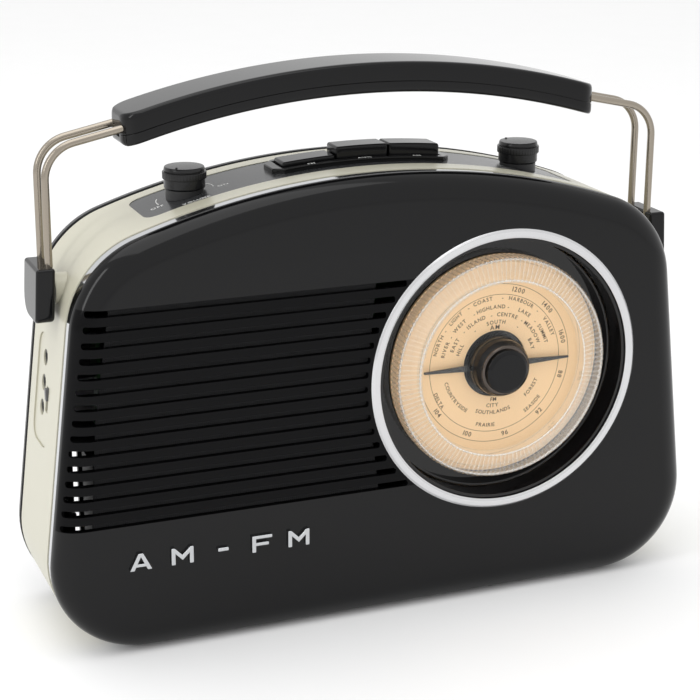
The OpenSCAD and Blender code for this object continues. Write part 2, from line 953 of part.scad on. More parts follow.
module grip_upper() {
    color("#111113") difference() {
        intersection() {
            deep(0, 70) grip_arc(seam_r + seam_gap, grip_out_r);
            grip_plan();
        }
        rods();
    }
}

module grip_lower() {
    color("#111113") difference() {
        union() {
            intersection() {
                deep(0, 70) grip_arc(grip_out_r - grip_t, seam_r);
                grip_plan();
            }
            intersection() {
                deep(0, 70) grip_arc(seam_r - 1, seam_r + seam_gap);
                grip_plan(1.4);
            }
        }
        rods();
        for (x = [-50, 0, 50]) translate([x, grip_mid_y, 150]) cylinder(r = 1.6, h = 100);
    }
}

// One rod: up from the block, round a bend and in to the grip; its straight ends lap into the bend
module rod(y) {
    lap = 0.1;
    cx = rod_x - rod_bend;
    turn = 90 - rod_slope;
    ex = cx + rod_bend * cos(turn);
    ez = bend_z + rod_bend * sin(turn);
    len = (ex - rod_grip_x) / cos(rod_slope);
    translate([rod_x, y, rod_foot_z]) cylinder(r = rod_r - tuck, h = bend_z - rod_foot_z + lap);
    translate([cx, y, bend_z]) rotate([90, 0, 0]) rotate_extrude(angle = turn)
        translate([rod_bend, 0]) circle(rod_r);
    translate([ex, y, ez]) rotate([0, -(90 - rod_slope), 0]) translate([0, 0, -lap])
        cylinder(r = rod_r - tuck, h = len + lap);
}

module rods() {
    both_sides() for (y = rod_y) rod(y);
}

module handle_rods() {
    color("#cfc8bc") rods();
}

module block_side() {
    cy = block_y1 - block_curve;
    cz = block_low + block_curve;
    translate([cy, cz]) circle(block_curve);
    translate([block_y0, cz]) square([block_y1 - block_y0, block_top - cz]);
    translate([block_y0, block_low + 3]) square([cy - block_y0, block_curve]);
    translate([block_y0 + 3, block_low]) square([cy - block_y0 - 3, block_curve]);
    translate([block_y0 + 3, block_low + 3]) circle(3);
}

module hinge_blocks() {
    color("#131315") both_sides() difference() {
        intersection() {
            deep(0, 70) polygon([[block_in_low, block_low], [block_out_low, block_low],
                [block_out_top, block_top], [block_in_top, block_top]]);
            translate([110, 0, 0]) rotate([90, 0, 90]) linear_extrude(40) block_side();
        }
        for (y = rod_y) translate([rod_x, y, rod_foot_z]) cylinder(r = rod_r, h = 20);
        translate([120, pivot_y, pivot_z]) rotate([0, 90, 0]) cylinder(r = pin_r + run, h = 12);
    }
}

module pivot_boss() {
    translate([boss_end - boss_len, pivot_y, pivot_z]) rotate([0, 90, 0])
        cylinder(r = boss_r, h = boss_len);
}

module pivot_bore() {
    translate([100, pivot_y, pivot_z]) rotate([0, 90, 0]) cylinder(r = pin_r, h = 60);
}

module hinge_pins() {
    color("silver") both_sides() {
        translate([pin_x, pivot_y, pivot_z]) rotate([0, 90, 0]) cylinder(r = pin_r, h = pin_len);
        translate([pin_x, pivot_y, pivot_z]) rotate([0, -90, 0]) cylinder(r = pin_head_r, h = 1.6);
    }
}

// ---------- telescopic antenna ----------

module at_antenna() {
    translate([antenna_x, antenna_y, antenna_z]) children();
}

module antenna_bracket() {
    color("#c9ccd0") {
        translate([antenna_x, 0, antenna_z]) {
            bar_y(4.2, shelf_y, shelf_y + 0.8);
            bar_y(2, shelf_y - 5, shelf_y + 0.1);
            bar_y(3.6, shelf_y - 5.5, shelf_y - 4.2);
        }
    }
}

// Knuckle: a turning base with a fork that the outer tube tilts in
module antenna_knuckle() {
    color("#c9ccd0") at_antenna() {
        translate([0, -antenna_y, 0]) bar_y(4.2, shelf_y + 0.85, shelf_y + 1.6);
        for (s = [-1, 1]) translate([0, 0, s * 2.6]) difference() {
            union() {
                translate([0, 0, -0.8]) cylinder(r = 2.4, h = 1.6);
                box([-2.4, shelf_y + 1.2 - antenna_y, -0.8], [2.4, 0, 0.8]);
            }
            translate([0, 0, -1]) cylinder(r = 1, h = 2);
        }
        translate([0, 0, -3.4]) cylinder(r = 1, h = 6.8);
    }
}

module tube(r, x0, x1, bore) {
    rotate([0, -90, 0]) difference() {
        translate([0, 0, x0]) cylinder(r = r, h = x1 - x0);
        translate([0, 0, x0 + 6]) cylinder(r = bore, h = x1);
    }
}

module antenna_tube() {
    color("#d4d6d9") at_antenna() {
        difference() {
            translate([0, 0, -1.5]) cylinder(r = 2, h = 3);
            translate([0, 0, -2]) cylinder(r = 1 + run, h = 4);
            box([-10, -5, -2], [-2, 5, 2]);
        }
        difference() {
            box([-6, -1.6, -1.5], [-1.6, 1.6, 1.5]);
            translate([0, 0, -2]) cylinder(r = 1.5, h = 4);
        }
        tube(tube_r[0], 5.5, antenna_len, tube_r[1] + run);
    }
}

module antenna_section_2() {
    color("#d4d6d9") at_antenna() tube(tube_r[1], 12, antenna_len + 1, tube_r[2] + run);
}

module antenna_section_3() {
    color("#d4d6d9") at_antenna() {
        rotate([0, -90, 0]) translate([0, 0, 19]) cylinder(r = tube_r[2], h = antenna_len - 17);
        rotate([0, -90, 0]) translate([0, 0, antenna_len + 1.6]) cylinder(r = tip_r, h = 5);
    }
}

// ---------- small parts ----------

// Raised letters A, M, a dash, F, M, each drawn in a cell 9 wide and 7 high
module glyph_a() {
    polygon([[0, 0], [1.9, 0], [4.5, 5.4], [7.1, 0], [9, 0], [5.5, 7], [3.5, 7]]);
    translate([2.2, 1.4]) square([4.6, 1.3]);
}

module glyph_m() {
    polygon([[0, 0], [1.7, 0], [1.7, 4.4], [4.5, 1.6], [7.3, 4.4], [7.3, 0], [9, 0], [9, 7], [7.6, 7],
        [4.5, 3.9], [1.4, 7], [0, 7]]);
}

module glyph_f() {
    polygon([[0, 0], [1.7, 0], [1.7, 2.7], [7, 2.7], [7, 4.1], [1.7, 4.1], [1.7, 5.6], [8.4, 5.6],
        [8.4, 7], [0, 7]]);
}

module badge_letters() {
    color("silver") deep(-letter_t, -eps) {
        translate([-108.8, letter_z]) glyph_a();
        translate([-92.2, letter_z]) glyph_m();
        translate([-73.4, letter_z + 2.8]) square([4.4, 1.5]);
        translate([-59.4, letter_z]) glyph_f();
        translate([-44.4, letter_z]) glyph_m();
    }
}

module case_screws() {
    color("#55575a") for (p = screw_at) translate([p[0], 0, p[1]]) {
        bar_y(1.3, 50.5, p[2] - 3);
        difference() {
            bar_y(2.8, p[2] - 3.5, p[2] - 1.4);
            box([-0.5, p[2] - 2.2, -2.2], [0.5, p[2], 2.2]);
            box([-2.2, p[2] - 2.2, -0.5], [2.2, p[2], 0.5]);
        }
    }
}

module feet() {
    color("#202020") for (x = [-foot_x, foot_x]) for (y = foot_y) translate([x, y, -lift])
        cylinder(r = foot_r, h = lift + band_in);
}

place() front_shell();
place() front_trim();
place() case_band();
place() rear_trim();
place() rear_cover();
place() battery_door();
place() battery_tray();
place() battery_contacts();
place() control_plate();
place() button_frame();
place() fm_button();
place() aux_button();
place() am_button();
place() band_switch();
place() knob_collars();
place() volume_knob();
place() volume_shaft();
place() volume_pot();
place() tone_knob();
place() tone_shaft();
place() tone_pot();
place() dial_bezel();
place() dial_well();
place() dial_scale();
place() tuning_ring();
place() dial_pointer();
place() tuning_hub();
place() hub_ring();
place() hub_cap();
place() tuning_shaft();
place() tuning_capacitor();
place() tuning_rotor();
place() grille_cloth();
place() speaker_basket();
place() speaker_cone();
place() speaker_magnet();
place() main_board();
place() board_parts();
place() ferrite_rod();
place() antenna_coil();
place() rod_clips();
place() transformer();
place() mains_inlet();
place() port_panel();
place() port_board();
place() port_sockets();
place() slide_switch();
place() slide_knob();
place() grip_upper();
place() grip_lower();
place() handle_rods();
place() hinge_blocks();
place() hinge_pins();
place() antenna_bracket();
place() antenna_knuckle();
place() antenna_tube();
place() antenna_section_2();
place() antenna_section_3();
place() badge_letters();
place() case_screws();
place() feet();
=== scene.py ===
import json
import math

import bmesh
import bpy
from mathutils import Matrix, Vector

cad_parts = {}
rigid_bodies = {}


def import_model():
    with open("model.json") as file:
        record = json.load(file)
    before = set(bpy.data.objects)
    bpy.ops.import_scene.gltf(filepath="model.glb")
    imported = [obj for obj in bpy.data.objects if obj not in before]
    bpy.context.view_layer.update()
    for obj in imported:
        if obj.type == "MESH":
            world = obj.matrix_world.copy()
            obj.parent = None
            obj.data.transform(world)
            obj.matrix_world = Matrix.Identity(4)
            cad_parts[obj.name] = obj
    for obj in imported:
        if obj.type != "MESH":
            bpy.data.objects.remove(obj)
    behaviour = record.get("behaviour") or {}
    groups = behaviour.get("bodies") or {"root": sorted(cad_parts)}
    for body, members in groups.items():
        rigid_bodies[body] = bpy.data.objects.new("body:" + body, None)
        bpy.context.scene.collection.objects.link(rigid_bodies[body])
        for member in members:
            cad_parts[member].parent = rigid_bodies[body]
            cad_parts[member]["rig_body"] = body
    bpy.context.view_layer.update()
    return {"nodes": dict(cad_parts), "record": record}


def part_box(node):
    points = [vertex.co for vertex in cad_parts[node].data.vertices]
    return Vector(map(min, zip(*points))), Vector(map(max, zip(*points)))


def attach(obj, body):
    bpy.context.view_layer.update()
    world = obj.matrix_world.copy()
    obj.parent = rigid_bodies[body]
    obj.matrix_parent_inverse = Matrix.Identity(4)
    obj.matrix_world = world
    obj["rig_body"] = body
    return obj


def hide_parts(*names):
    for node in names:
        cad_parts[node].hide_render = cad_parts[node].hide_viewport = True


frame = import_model()

# Shapes are drawn in millimetres: x to the right, y back from the flat front face, z up from the
# underside of the case. put() takes them to the frame, in metres.
MM = 0.001
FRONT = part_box("front_shell")[0].y
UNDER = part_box("front_shell")[0].z


def at(x, y, z):
    """A point in the frame, in metres, from millimetres."""
    return Vector((x * MM, y * MM + FRONT, z * MM + UNDER))


def depth_of(node):
    """The nearest and furthest depth of a CAD node behind the front face, in millimetres."""
    low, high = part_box(node)
    return (low.y - FRONT) / MM, (high.y - FRONT) / MM


# ---------- camera, floor and light ----------

CAMERA_AT = (-0.27196, -0.66665, 0.33128)
YAW = math.radians(21.89)
PITCH = math.radians(17.64)
ROLL = math.radians(0.30)
LENS = 94.8
FLOOR_HALF = 6


def make_camera():
    forward = Vector((math.sin(YAW) * math.cos(PITCH), math.cos(YAW) * math.cos(PITCH), -math.sin(PITCH)))
    level = Vector((math.cos(YAW), -math.sin(YAW), 0))
    up = level.cross(forward)
    right = math.cos(ROLL) * level + math.sin(ROLL) * up
    above = math.cos(ROLL) * up - math.sin(ROLL) * level
    data = bpy.data.cameras.new("camera")
    data.lens = LENS
    data.sensor_width = 36
    data.clip_end = 50
    camera = bpy.data.objects.new("camera", data)
    turn = Matrix((right, above, -forward)).transposed().to_4x4()
    camera.matrix_world = Matrix.Translation(CAMERA_AT) @ turn
    bpy.context.collection.objects.link(camera)
    bpy.context.scene.camera = camera


def area_light(name, place, target, size, power, tint=(1, 1, 1)):
    data = bpy.data.lights.new(name, "AREA")
    data.shape = "RECTANGLE"
    data.size, data.size_y = size
    data.energy = power
    data.color = tint
    lamp = bpy.data.objects.new(name, data)
    lamp.location = place
    lamp.rotation_euler = (Vector(target) - Vector(place)).to_track_quat("-Z", "Y").to_euler()
    bpy.context.collection.objects.link(lamp)


def make_studio():
    world = bpy.data.worlds.new("studio")
    world.use_nodes = True
    world.node_tree.nodes["Background"].inputs["Color"].default_value = (1, 1, 1, 1)
    world.node_tree.nodes["Background"].inputs["Strength"].default_value = 1.0
    bpy.context.scene.world = world
    area_light("softbox_top", (-0.2, -0.1, 1.3), (0, 0, 0.08), (1.4, 1.0), 6)
    area_light("softbox_left", (-1.2, -0.35, 0.75), (0, 0, 0.12), (0.22, 0.9), 2.6)
    view = bpy.context.scene.view_settings
    view.view_transform = "Standard"
    view.look = "None"
    mesh = bpy.data.meshes.new("floor")
    corners = [(x * FLOOR_HALF, y * FLOOR_HALF, 0) for x, y in ((-1, -1), (1, -1), (1, 1), (-1, 1))]
    mesh.from_pydata(corners, [], [(0, 1, 2, 3)])
    floor = bpy.data.objects.new("floor", mesh)
    bpy.context.collection.objects.link(floor)
    paint = surface("floor_paint", (0.92, 0.92, 0.92), 0.8, grain=0, vary=0.004, specular=0.2)
    floor.data.materials.append(paint)


# ---------- materials ----------


def surface(name, color, rough, metal=0.0, coat=0.0, grain=0.02, grain_size=900, spread=0.06, vary=0.03,
            specular=0.5):
    """A procedural finish: fine grain as bump, with slow changes of colour and roughness."""
    mat = bpy.data.materials.new(name)
    mat.use_nodes = True
    tree = mat.node_tree
    shader = tree.nodes["Principled BSDF"]
    shader.inputs["Metallic"].default_value = metal
    shader.inputs["Coat Weight"].default_value = coat
    shader.inputs["Coat Roughness"].default_value = 0.04
    shader.inputs["Specular IOR Level"].default_value = specular
    place = tree.nodes.new("ShaderNodeTexCoord")
    slow = tree.nodes.new("ShaderNodeTexNoise")
    slow.inputs["Scale"].default_value = 22
    slow.inputs["Detail"].default_value = 6
    tree.links.new(place.outputs["Object"], slow.inputs["Vector"])
    tint = tree.nodes.new("ShaderNodeValToRGB")
    tint.color_ramp.elements[0].position = 0.3
    tint.color_ramp.elements[1].position = 0.7
    tint.color_ramp.elements[0].color = [c * (1 - vary) for c in color] + [1]
    tint.color_ramp.elements[1].color = [min(1, c * (1 + vary)) for c in color] + [1]
    tree.links.new(slow.outputs["Fac"], tint.inputs["Fac"])
    tree.links.new(tint.outputs["Color"], shader.inputs["Base Color"])
    polish = tree.nodes.new("ShaderNodeMapRange")
    polish.inputs["From Min"].default_value = 0.3
    polish.inputs["From Max"].default_value = 0.7
    polish.inputs["To Min"].default_value = max(0.01, rough - spread / 2)
    polish.inputs["To Max"].default_value = rough + spread / 2
    tree.links.new(slow.outputs["Fac"], polish.inputs["Value"])
    tree.links.new(polish.outputs["Result"], shader.inputs["Roughness"])
    if grain:
        fine = tree.nodes.new("ShaderNodeTexNoise")
        fine.inputs["Scale"].default_value = grain_size
        fine.inputs["Detail"].default_value = 3
        tree.links.new(place.outputs["Object"], fine.inputs["Vector"])
        bump = tree.nodes.new("ShaderNodeBump")
        bump.inputs["Strength"].default_value = grain
        bump.inputs["Distance"].default_value = 0.0004
        tree.links.new(fine.outputs["Fac"], bump.inputs["Height"])
        tree.links.new(bump.outputs["Normal"], shader.inputs["Normal"])
    return mat


def woven(name, color):
    """Speaker cloth: two crossed sets of threads."""
    mat = surface(name, color, 0.85, grain=0)
    tree = mat.node_tree
    place = tree.nodes.new("ShaderNodeTexCoord")
    heights = []
    for direction in ("X", "Z"):
        wave = tree.nodes.new("ShaderNodeTexWave")
        wave.bands_direction = direction
        wave.inputs["Scale"].default_value = 380
        tree.links.new(place.outputs["Object"], wave.inputs["Vector"])
        heights.append(wave.outputs["Fac"])
    both = tree.nodes.new("ShaderNodeMath")
    both.operation = "MULTIPLY"
    tree.links.new(heights[0], both.inputs[0])
    tree.links.new(heights[1], both.inputs[1])
    bump = tree.nodes.new("ShaderNodeBump")
    bump.inputs["Strength"].default_value = 0.8
    bump.inputs["Distance"].default_value = 0.0003
    tree.links.new(both.outputs["Value"], bump.inputs["Height"])
    tree.links.new(bump.outputs["Normal"], tree.nodes["Principled BSDF"].inputs["Normal"])
    return mat


def clear(name, least, power, tint):
    """Clear acrylic: see-through face on, and glossy at a glancing angle. least is what it reflects face
    on."""
    mat = bpy.data.materials.new(name)
    mat.use_nodes = True
    tree = mat.node_tree
    gloss = tree.nodes["Principled BSDF"]
    gloss.inputs["Base Color"].default_value = (*tint, 1)
    gloss.inputs["Metallic"].default_value = 0.85
    gloss.inputs["Roughness"].default_value = 0.07
    see_through = tree.nodes.new("ShaderNodeBsdfTransparent")
    see_through.inputs["Color"].default_value = (0.995, 0.995, 0.99, 1)
    slant = tree.nodes.new("ShaderNodeLayerWeight")
    slant.inputs["Blend"].default_value = 0.5
    rise = tree.nodes.new("ShaderNodeMath")
    rise.operation = "POWER"
    rise.inputs[1].default_value = power
    tree.links.new(slant.outputs["Facing"], rise.inputs[0])
    share = tree.nodes.new("ShaderNodeMapRange")
    share.inputs["To Min"].default_value = least
    tree.links.new(rise.outputs["Value"], share.inputs["Value"])
    mix = tree.nodes.new("ShaderNodeMixShader")
    tree.links.new(share.outputs["Result"], mix.inputs["Fac"])
    tree.links.new(see_through.outputs["BSDF"], mix.inputs[1])
    tree.links.new(gloss.outputs["BSDF"], mix.inputs[2])
    tree.links.new(mix.outputs["Shader"], tree.nodes["Material Output"].inputs["Surface"])
    return mat


FINISHES = {
    "black_gloss": surface("black_gloss", (0.0030, 0.0030, 0.0034), 0.10, grain=0.012, grain_size=260,
                           specular=0.26),
    "chrome_trim": surface("chrome_trim", (0.55, 0.56, 0.575), 0.07, metal=1, grain=0.004, grain_size=300),
    "chrome_bezel": surface("chrome_bezel", (0.64, 0.64, 0.65), 0.2, metal=1, grain=0.01, grain_size=1400),
    "nickel_rod": surface("nickel_rod", (0.33, 0.292, 0.242), 0.2, metal=1, grain=0.012, grain_size=1500),
    "cream": surface("cream", (0.53, 0.512, 0.41), 0.3, grain=0.02, grain_size=1100, vary=0.015),
    "black_case": surface("black_case", (0.012, 0.012, 0.013), 0.42, grain=0.22, grain_size=1500),
    "knob_black": surface("knob_black", (0.006, 0.006, 0.0065), 0.24, grain=0.05, grain_size=1800,
                          specular=0.38),
    "plate_grey": surface("plate_grey", (0.036, 0.037, 0.039), 0.24, grain=0.02, grain_size=1400, vary=0.015,
                          specular=0.3),
    "clear_acrylic": clear("clear_acrylic", 0.02, 5, (0.93, 0.95, 0.96)),
    "scale_print": surface("scale_print", (0.98, 0.68, 0.39), 0.5, grain=0.03, grain_size=2600, vary=0.02),
    "pointer_black": surface("pointer_black", (0.006, 0.006, 0.006), 0.15, coat=0.4, grain=0.01),
    "steel": surface("steel", (0.52, 0.53, 0.55), 0.3, metal=1, grain=0.05, grain_size=1700),
    "antenna_chrome": surface("antenna_chrome", (0.80, 0.80, 0.81), 0.09, metal=1, grain=0.006),
    "aluminium": surface("aluminium", (0.66, 0.67, 0.69), 0.35, metal=1, grain=0.05, grain_size=1700),
    "cloth": woven("cloth", (0.012, 0.012, 0.013)),
    "cone_paper": surface("cone_paper", (0.045, 0.04, 0.036), 0.8, grain=0.4, grain_size=2200),
    "magnet": surface("magnet", (0.05, 0.05, 0.053), 0.55, grain=0.2, grain_size=900),
    "board_green": surface("board_green", (0.05, 0.13, 0.05), 0.35, grain=0.1, grain_size=700, vary=0.12),
    "parts_dark": surface("parts_dark", (0.04, 0.045, 0.055), 0.4, grain=0.06),
    "copper": surface("copper", (0.55, 0.22, 0.09), 0.3, metal=1, grain=0.2, grain_size=2600),
    "transformer_steel": surface("transformer_steel", (0.26, 0.23, 0.19), 0.4, metal=1, grain=0.2),
    "switch_plastic": surface("switch_plastic", (0.56, 0.54, 0.44), 0.45, grain=0.05),
    "slide_grey": surface("slide_grey", (0.12, 0.12, 0.125), 0.4, grain=0.08, grain_size=1800),
    "rubber": surface("rubber", (0.02, 0.02, 0.02), 0.75, grain=0.3, grain_size=1300),
}
DIAL_INK = surface("dial_ink", (0.10, 0.062, 0.036), 0.55, grain=0.02, specular=0.2)
WHITE_INK = surface("white_ink", (0.80, 0.80, 0.78), 0.5, grain=0.02)
LIP_CHROME = surface("lip_chrome", (0.10, 0.085, 0.075), 0.14, metal=1, grain=0.01)
FLUTED = clear("fluted_acrylic", 0.04, 1.5, (1, 1, 0.985))
BEADED = clear("beaded_acrylic", 0.34, 1.2, (1, 1, 1))
WELL_GLOSS = surface("well_gloss", (0.0035, 0.003, 0.003), 0.05, grain=0.006, grain_size=300, specular=0.42)
# A darker, less shiny copy of black_gloss for the grille ribs: painted shade, since the ribs are the same
# plastic as the front.
RIB_PAINTED_SHADE = surface("rib_painted_shade", (0.0022, 0.0022, 0.0026), 0.14, grain=0.012, grain_size=260, specular=0.1)
SOCKET_DARK = surface("socket_dark", (0.006, 0.006, 0.006), 0.4, grain=0.05)


# ---------- mesh helpers, all in millimetres ----------


def put(bm, name, body, slot, *nodes, bevel=0.0, segments=3, bevel_angle=32, sharp=38, finish=None):
    """Takes a drawn mesh to the frame as a piece that rides on body and stands for these CAD nodes."""
    bmesh.ops.remove_doubles(bm, verts=bm.verts, dist=1e-4)
    bmesh.ops.dissolve_degenerate(bm, dist=1e-4, edges=bm.edges)
    bmesh.ops.recalc_face_normals(bm, faces=bm.faces)
    for vert in bm.verts:
        vert.co = at(*vert.co)
    mesh = bpy.data.meshes.new(name)
    bm.to_mesh(mesh)
    bm.free()
    mesh.shade_smooth()
    mesh.set_sharp_from_angle(angle=math.radians(sharp))
    piece = bpy.data.objects.new(name, mesh)
    bpy.context.collection.objects.link(piece)
    mesh.materials.append(finish or FINISHES[slot])
    if bevel:
        edge = piece.modifiers.new("edge", "BEVEL")
        edge.width = bevel * MM
        edge.segments = segments
        edge.limit_method = "ANGLE"
        edge.angle_limit = math.radians(bevel_angle)
        edge.harden_normals = True
    else:
        even = piece.modifiers.new("even", "WEIGHTED_NORMAL")
        even.keep_sharp = True
    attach(piece, body)
    if nodes:
        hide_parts(*nodes)
    return piece


def skin(rings, closed=False, caps=True):
    """Faces between rings of points. closed joins the last ring to the first."""
    bm = bmesh.new()
    rows = [[bm.verts.new(p) for p in ring] for ring in rings]
    pairs = list(zip(rows, rows[1:]))
    if closed:
        pairs.append((rows[-1], rows[0]))
    for low, high in pairs:
        for i in range(len(low)):
            j = (i + 1) % len(low)
            bm.faces.new((low[i], low[j], high[j], high[i]))
    if caps and not closed:
        bm.faces.new(rows[0])
        bm.faces.new(rows[-1])
    return bm


def filleted(points, radius, steps=4, closed=True):
    """The outline with each corner rounded. radius is one number, or one for each point."""
    count = len(points)
    radii = radius if hasattr(radius, "__len__") else [radius] * count
    out = []
    for i, (point, r) in enumerate(zip(points, radii)):
        here = Vector(point)
        if r <= 0 or (not closed and i in (0, count - 1)):
            out.append(tuple(here))
            continue
        back = Vector(points[i - 1]) - here
        ahead = Vector(points[(i + 1) % count]) - here
        half = back.angle(ahead) / 2
        reach = min(r / math.tan(half), back.length * 0.49, ahead.length * 0.49)
        start = here + back.normalized() * reach
        end = here + ahead.normalized() * reach
        for k in range(steps + 1):
            t = k / steps
            out.append(tuple((1 - t) ** 2 * start + 2 * t * (1 - t) * here + t * t * end))
    return out


def turned(profile, centre, axis, steps=96, closed=True, shape=None):
    """Turns a profile of (radius, height) about a line through centre along axis. shape(r, h, angle) may
    return another radius and height."""
    rings = []
    for r, h in profile:
        ring = []
        for k in range(steps):
            angle = 2 * math.pi * k / steps
            rr, hh = shape(r, h, angle) if shape else (r, h)
            u, v = rr * math.cos(angle), rr * math.sin(angle)
            local = {"X": (hh, u, v), "Y": (u, hh, v), "Z": (u, v, hh)}[axis]
            ring.append(tuple(Vector(centre) + Vector(local)))
        rings.append(ring)
    return skin(rings, closed=closed, caps=False)


def prism(outline, low, high, place):
    """Extrudes a 2D outline from low to high. place(u, v, w) gives the point in space."""
    return skin([[place(u, v, w) for u, v in outline] for w in (low, high)])


def merged(*parts):
    """One mesh from several."""
    whole = bmesh.new()
    for part in parts:
        mesh = bpy.data.meshes.new("part")
        part.to_mesh(mesh)
        part.free()
        whole.from_mesh(mesh)
        bpy.data.meshes.remove(mesh)
    return whole


def carved(solid, cutter):
    """The solid with the cutter's volume taken away."""
    objects = []
    for bm in (solid, cutter):
        bmesh.ops.remove_doubles(bm, verts=bm.verts, dist=1e-4)
        bmesh.ops.recalc_face_normals(bm, faces=bm.faces)
        mesh = bpy.data.meshes.new("carving")
        bm.to_mesh(mesh)
        bm.free()
        objects.append(bpy.data.objects.new("carving", mesh))
        bpy.context.collection.objects.link(objects[-1])
    cut = objects[0].modifiers.new("cut", "BOOLEAN")
    cut.operation = "DIFFERENCE"
    cut.solver = "EXACT"
    cut.use_self = True
    cut.object = objects[1]
    bpy.context.view_layer.update()
    result = bmesh.new()
    result.from_object(objects[0], bpy.context.evaluated_depsgraph_get())
    for item in objects:
        bpy.data.objects.remove(item)
    return result


def block(low, high):
    """A box from corner to corner, for use as a cutter."""
    (x0, y0, z0), (x1, y1, z1) = low, high
    return prism([(x0, y0), (x1, y0), (x1, y1), (x0, y1)], z0, z1, lambda u, v, w: (u, v, w))


def rod(radius, start, end, steps=32):
    """A round bar from start to end, for use as a cutter."""
    return swept([Vector(start), Vector(end)], radius, steps)


def swept(path, radius, steps=24):
    """A round bar along a path of points."""
    rings = []
    side = None
    for i, point in enumerate(path):
        ahead = (path[min(i + 1, len(path) - 1)] - path[max(i - 1, 0)]).normalized()
        if side is None:
            side = ahead.orthogonal().normalized()
        side = (side - ahead * side.dot(ahead)).normalized()
        other = ahead.cross(side)
        turn = [2 * math.pi * k / steps for k in range(steps)]
        rings.append([tuple(point + radius * (math.cos(a) * side + math.sin(a) * other)) for a in turn])
    return skin(rings)


def softened(node, width, slot, segments=2, finish=None):
    """A CAD node's own shape with its edges rounded, shown in its place."""
    bm = bmesh.new()
    bm.from_mesh(frame["nodes"][node].data)
    bmesh.ops.remove_doubles(bm, verts=bm.verts, dist=1e-7)
    flat = math.radians(1)
    bmesh.ops.dissolve_limit(bm, angle_limit=flat, verts=bm.verts, edges=bm.edges)
    for vert in bm.verts:
        vert.co = Vector((vert.co.x, vert.co.y - FRONT, vert.co.z - UNDER)) / MM
    body = frame["nodes"][node]["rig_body"]
    put(bm, node + "_soft", body, slot, node, bevel=width, segments=segments, finish=finish)


# ---------- outline of the case ----------

BASE_HALF = 142
SHOULDER_HALF = 123.75
SHOULDER_H = 154.2
CASE_H = 180.9
LOW_R = 36.3
TOP_CORNER_R = 39.8
WALL = 2.6
RISE = CASE_H - SHOULDER_H
TOP_R = (RISE**2 + SHOULDER_HALF**2) / (2 * RISE)
TOP_C = CASE_H - TOP_R
LEAN = math.atan((BASE_HALF - SHOULDER_HALF) / SHOULDER_H)
SIDE_N = Vector((math.cos(LEAN), math.sin(LEAN)))
SIDE_S = Vector((-math.sin(LEAN), math.cos(LEAN)))
LOW_C = Vector((BASE_HALF - LOW_R * (1 + SIDE_N.y) / SIDE_N.x, LOW_R))
SIDE_P = Vector((BASE_HALF, 0)) - TOP_CORNER_R * SIDE_N
SIDE_V = SIDE_P - Vector((0, TOP_C))
SIDE_B = SIDE_V.dot(SIDE_S)
REACH = TOP_R - TOP_CORNER_R
HIGH_C = SIDE_P + (math.sqrt(SIDE_B**2 - SIDE_V.length_squared + REACH**2) - SIDE_B) * SIDE_S
TOP_A = math.atan2(HIGH_C.y - TOP_C, HIGH_C.x)

EDGE_IN = 10.8
BACK_EDGE_IN = 7
FRONT_DEPTH = 8.2
FRONT_D = depth_of("front_shell")[0] + FRONT_DEPTH
TRIM_Y = depth_of("front_trim")
BAND_Y = depth_of("case_band")
REAR_TRIM_Y = depth_of("rear_trim")
COVER_Y = depth_of("rear_cover")


def arc(centre, radius, start, end, steps):
    """Points on an arc, without its end."""
    angles = [start + (end - start) * k / steps for k in range(steps)]
    return [(centre[0] + radius * math.cos(a), centre[1] + radius * math.sin(a)) for a in angles]


def line(start, end, steps):
    """Points on a straight line, without its end."""
    return [tuple(Vector(start).lerp(Vector(end), k / steps)) for k in range(steps)]


def outline(inset):
    """The case outline in x, z, drawn in by inset, as one closed loop."""
    low_r, top_r = LOW_R - inset, TOP_CORNER_R - inset
    right = line((0, inset), (LOW_C.x, inset), 6)
    right += arc(LOW_C, low_r, -math.pi / 2, LEAN, 22)
    right += line(LOW_C + low_r * SIDE_N, HIGH_C + top_r * SIDE_N, 8)
    right += arc(HIGH_C, top_r, LEAN, TOP_A, 22)
    right += arc((0, TOP_C), TOP_R - inset, TOP_A, math.pi / 2, 30)
    top = [(0, TOP_C + TOP_R - inset)]
    left = [(-x, z) for x, z in reversed(right[1:])]
    return right + top + left


def ring_at(y, inset):
    return [(x, y, z) for x, z in outline(inset)]


def quarter(depth, reach, steps):
    """Depths and insets of a rounded edge, from the flat face outwards."""
    angles = [math.pi / 2 * k / steps for k in range(steps + 1)]
    return [(depth * (1 - math.cos(a)), reach * (1 - math.sin(a))) for a in angles]


def arc_height(x, above=0.0):
    """Height of the top arc at x, raised by above."""
    return TOP_C + math.sqrt((TOP_R + above) ** 2 - x * x)


# ---------- case ----------

SLOTS = 15
SLOT_PITCH = 5.95
SLOT_H = 2.6
SLOT_TOP = 137.1
SLOT_LEFT = 121.7
SLOT_SLANT = 0.88
SLOT_ROUND = 1.1
SLOT_SPAN = (-2, 6)
COLLAR_R = 60
DIAL = (49.6, 97.6)
BEZEL_R = 58.7
BEZEL_W = 3.8
SCREWS = [(-118, 40), (118, 40), (14, 18), (-86, 160), (86, 160)]
SHELF_Z = 140
SHELF_Y = 66.5


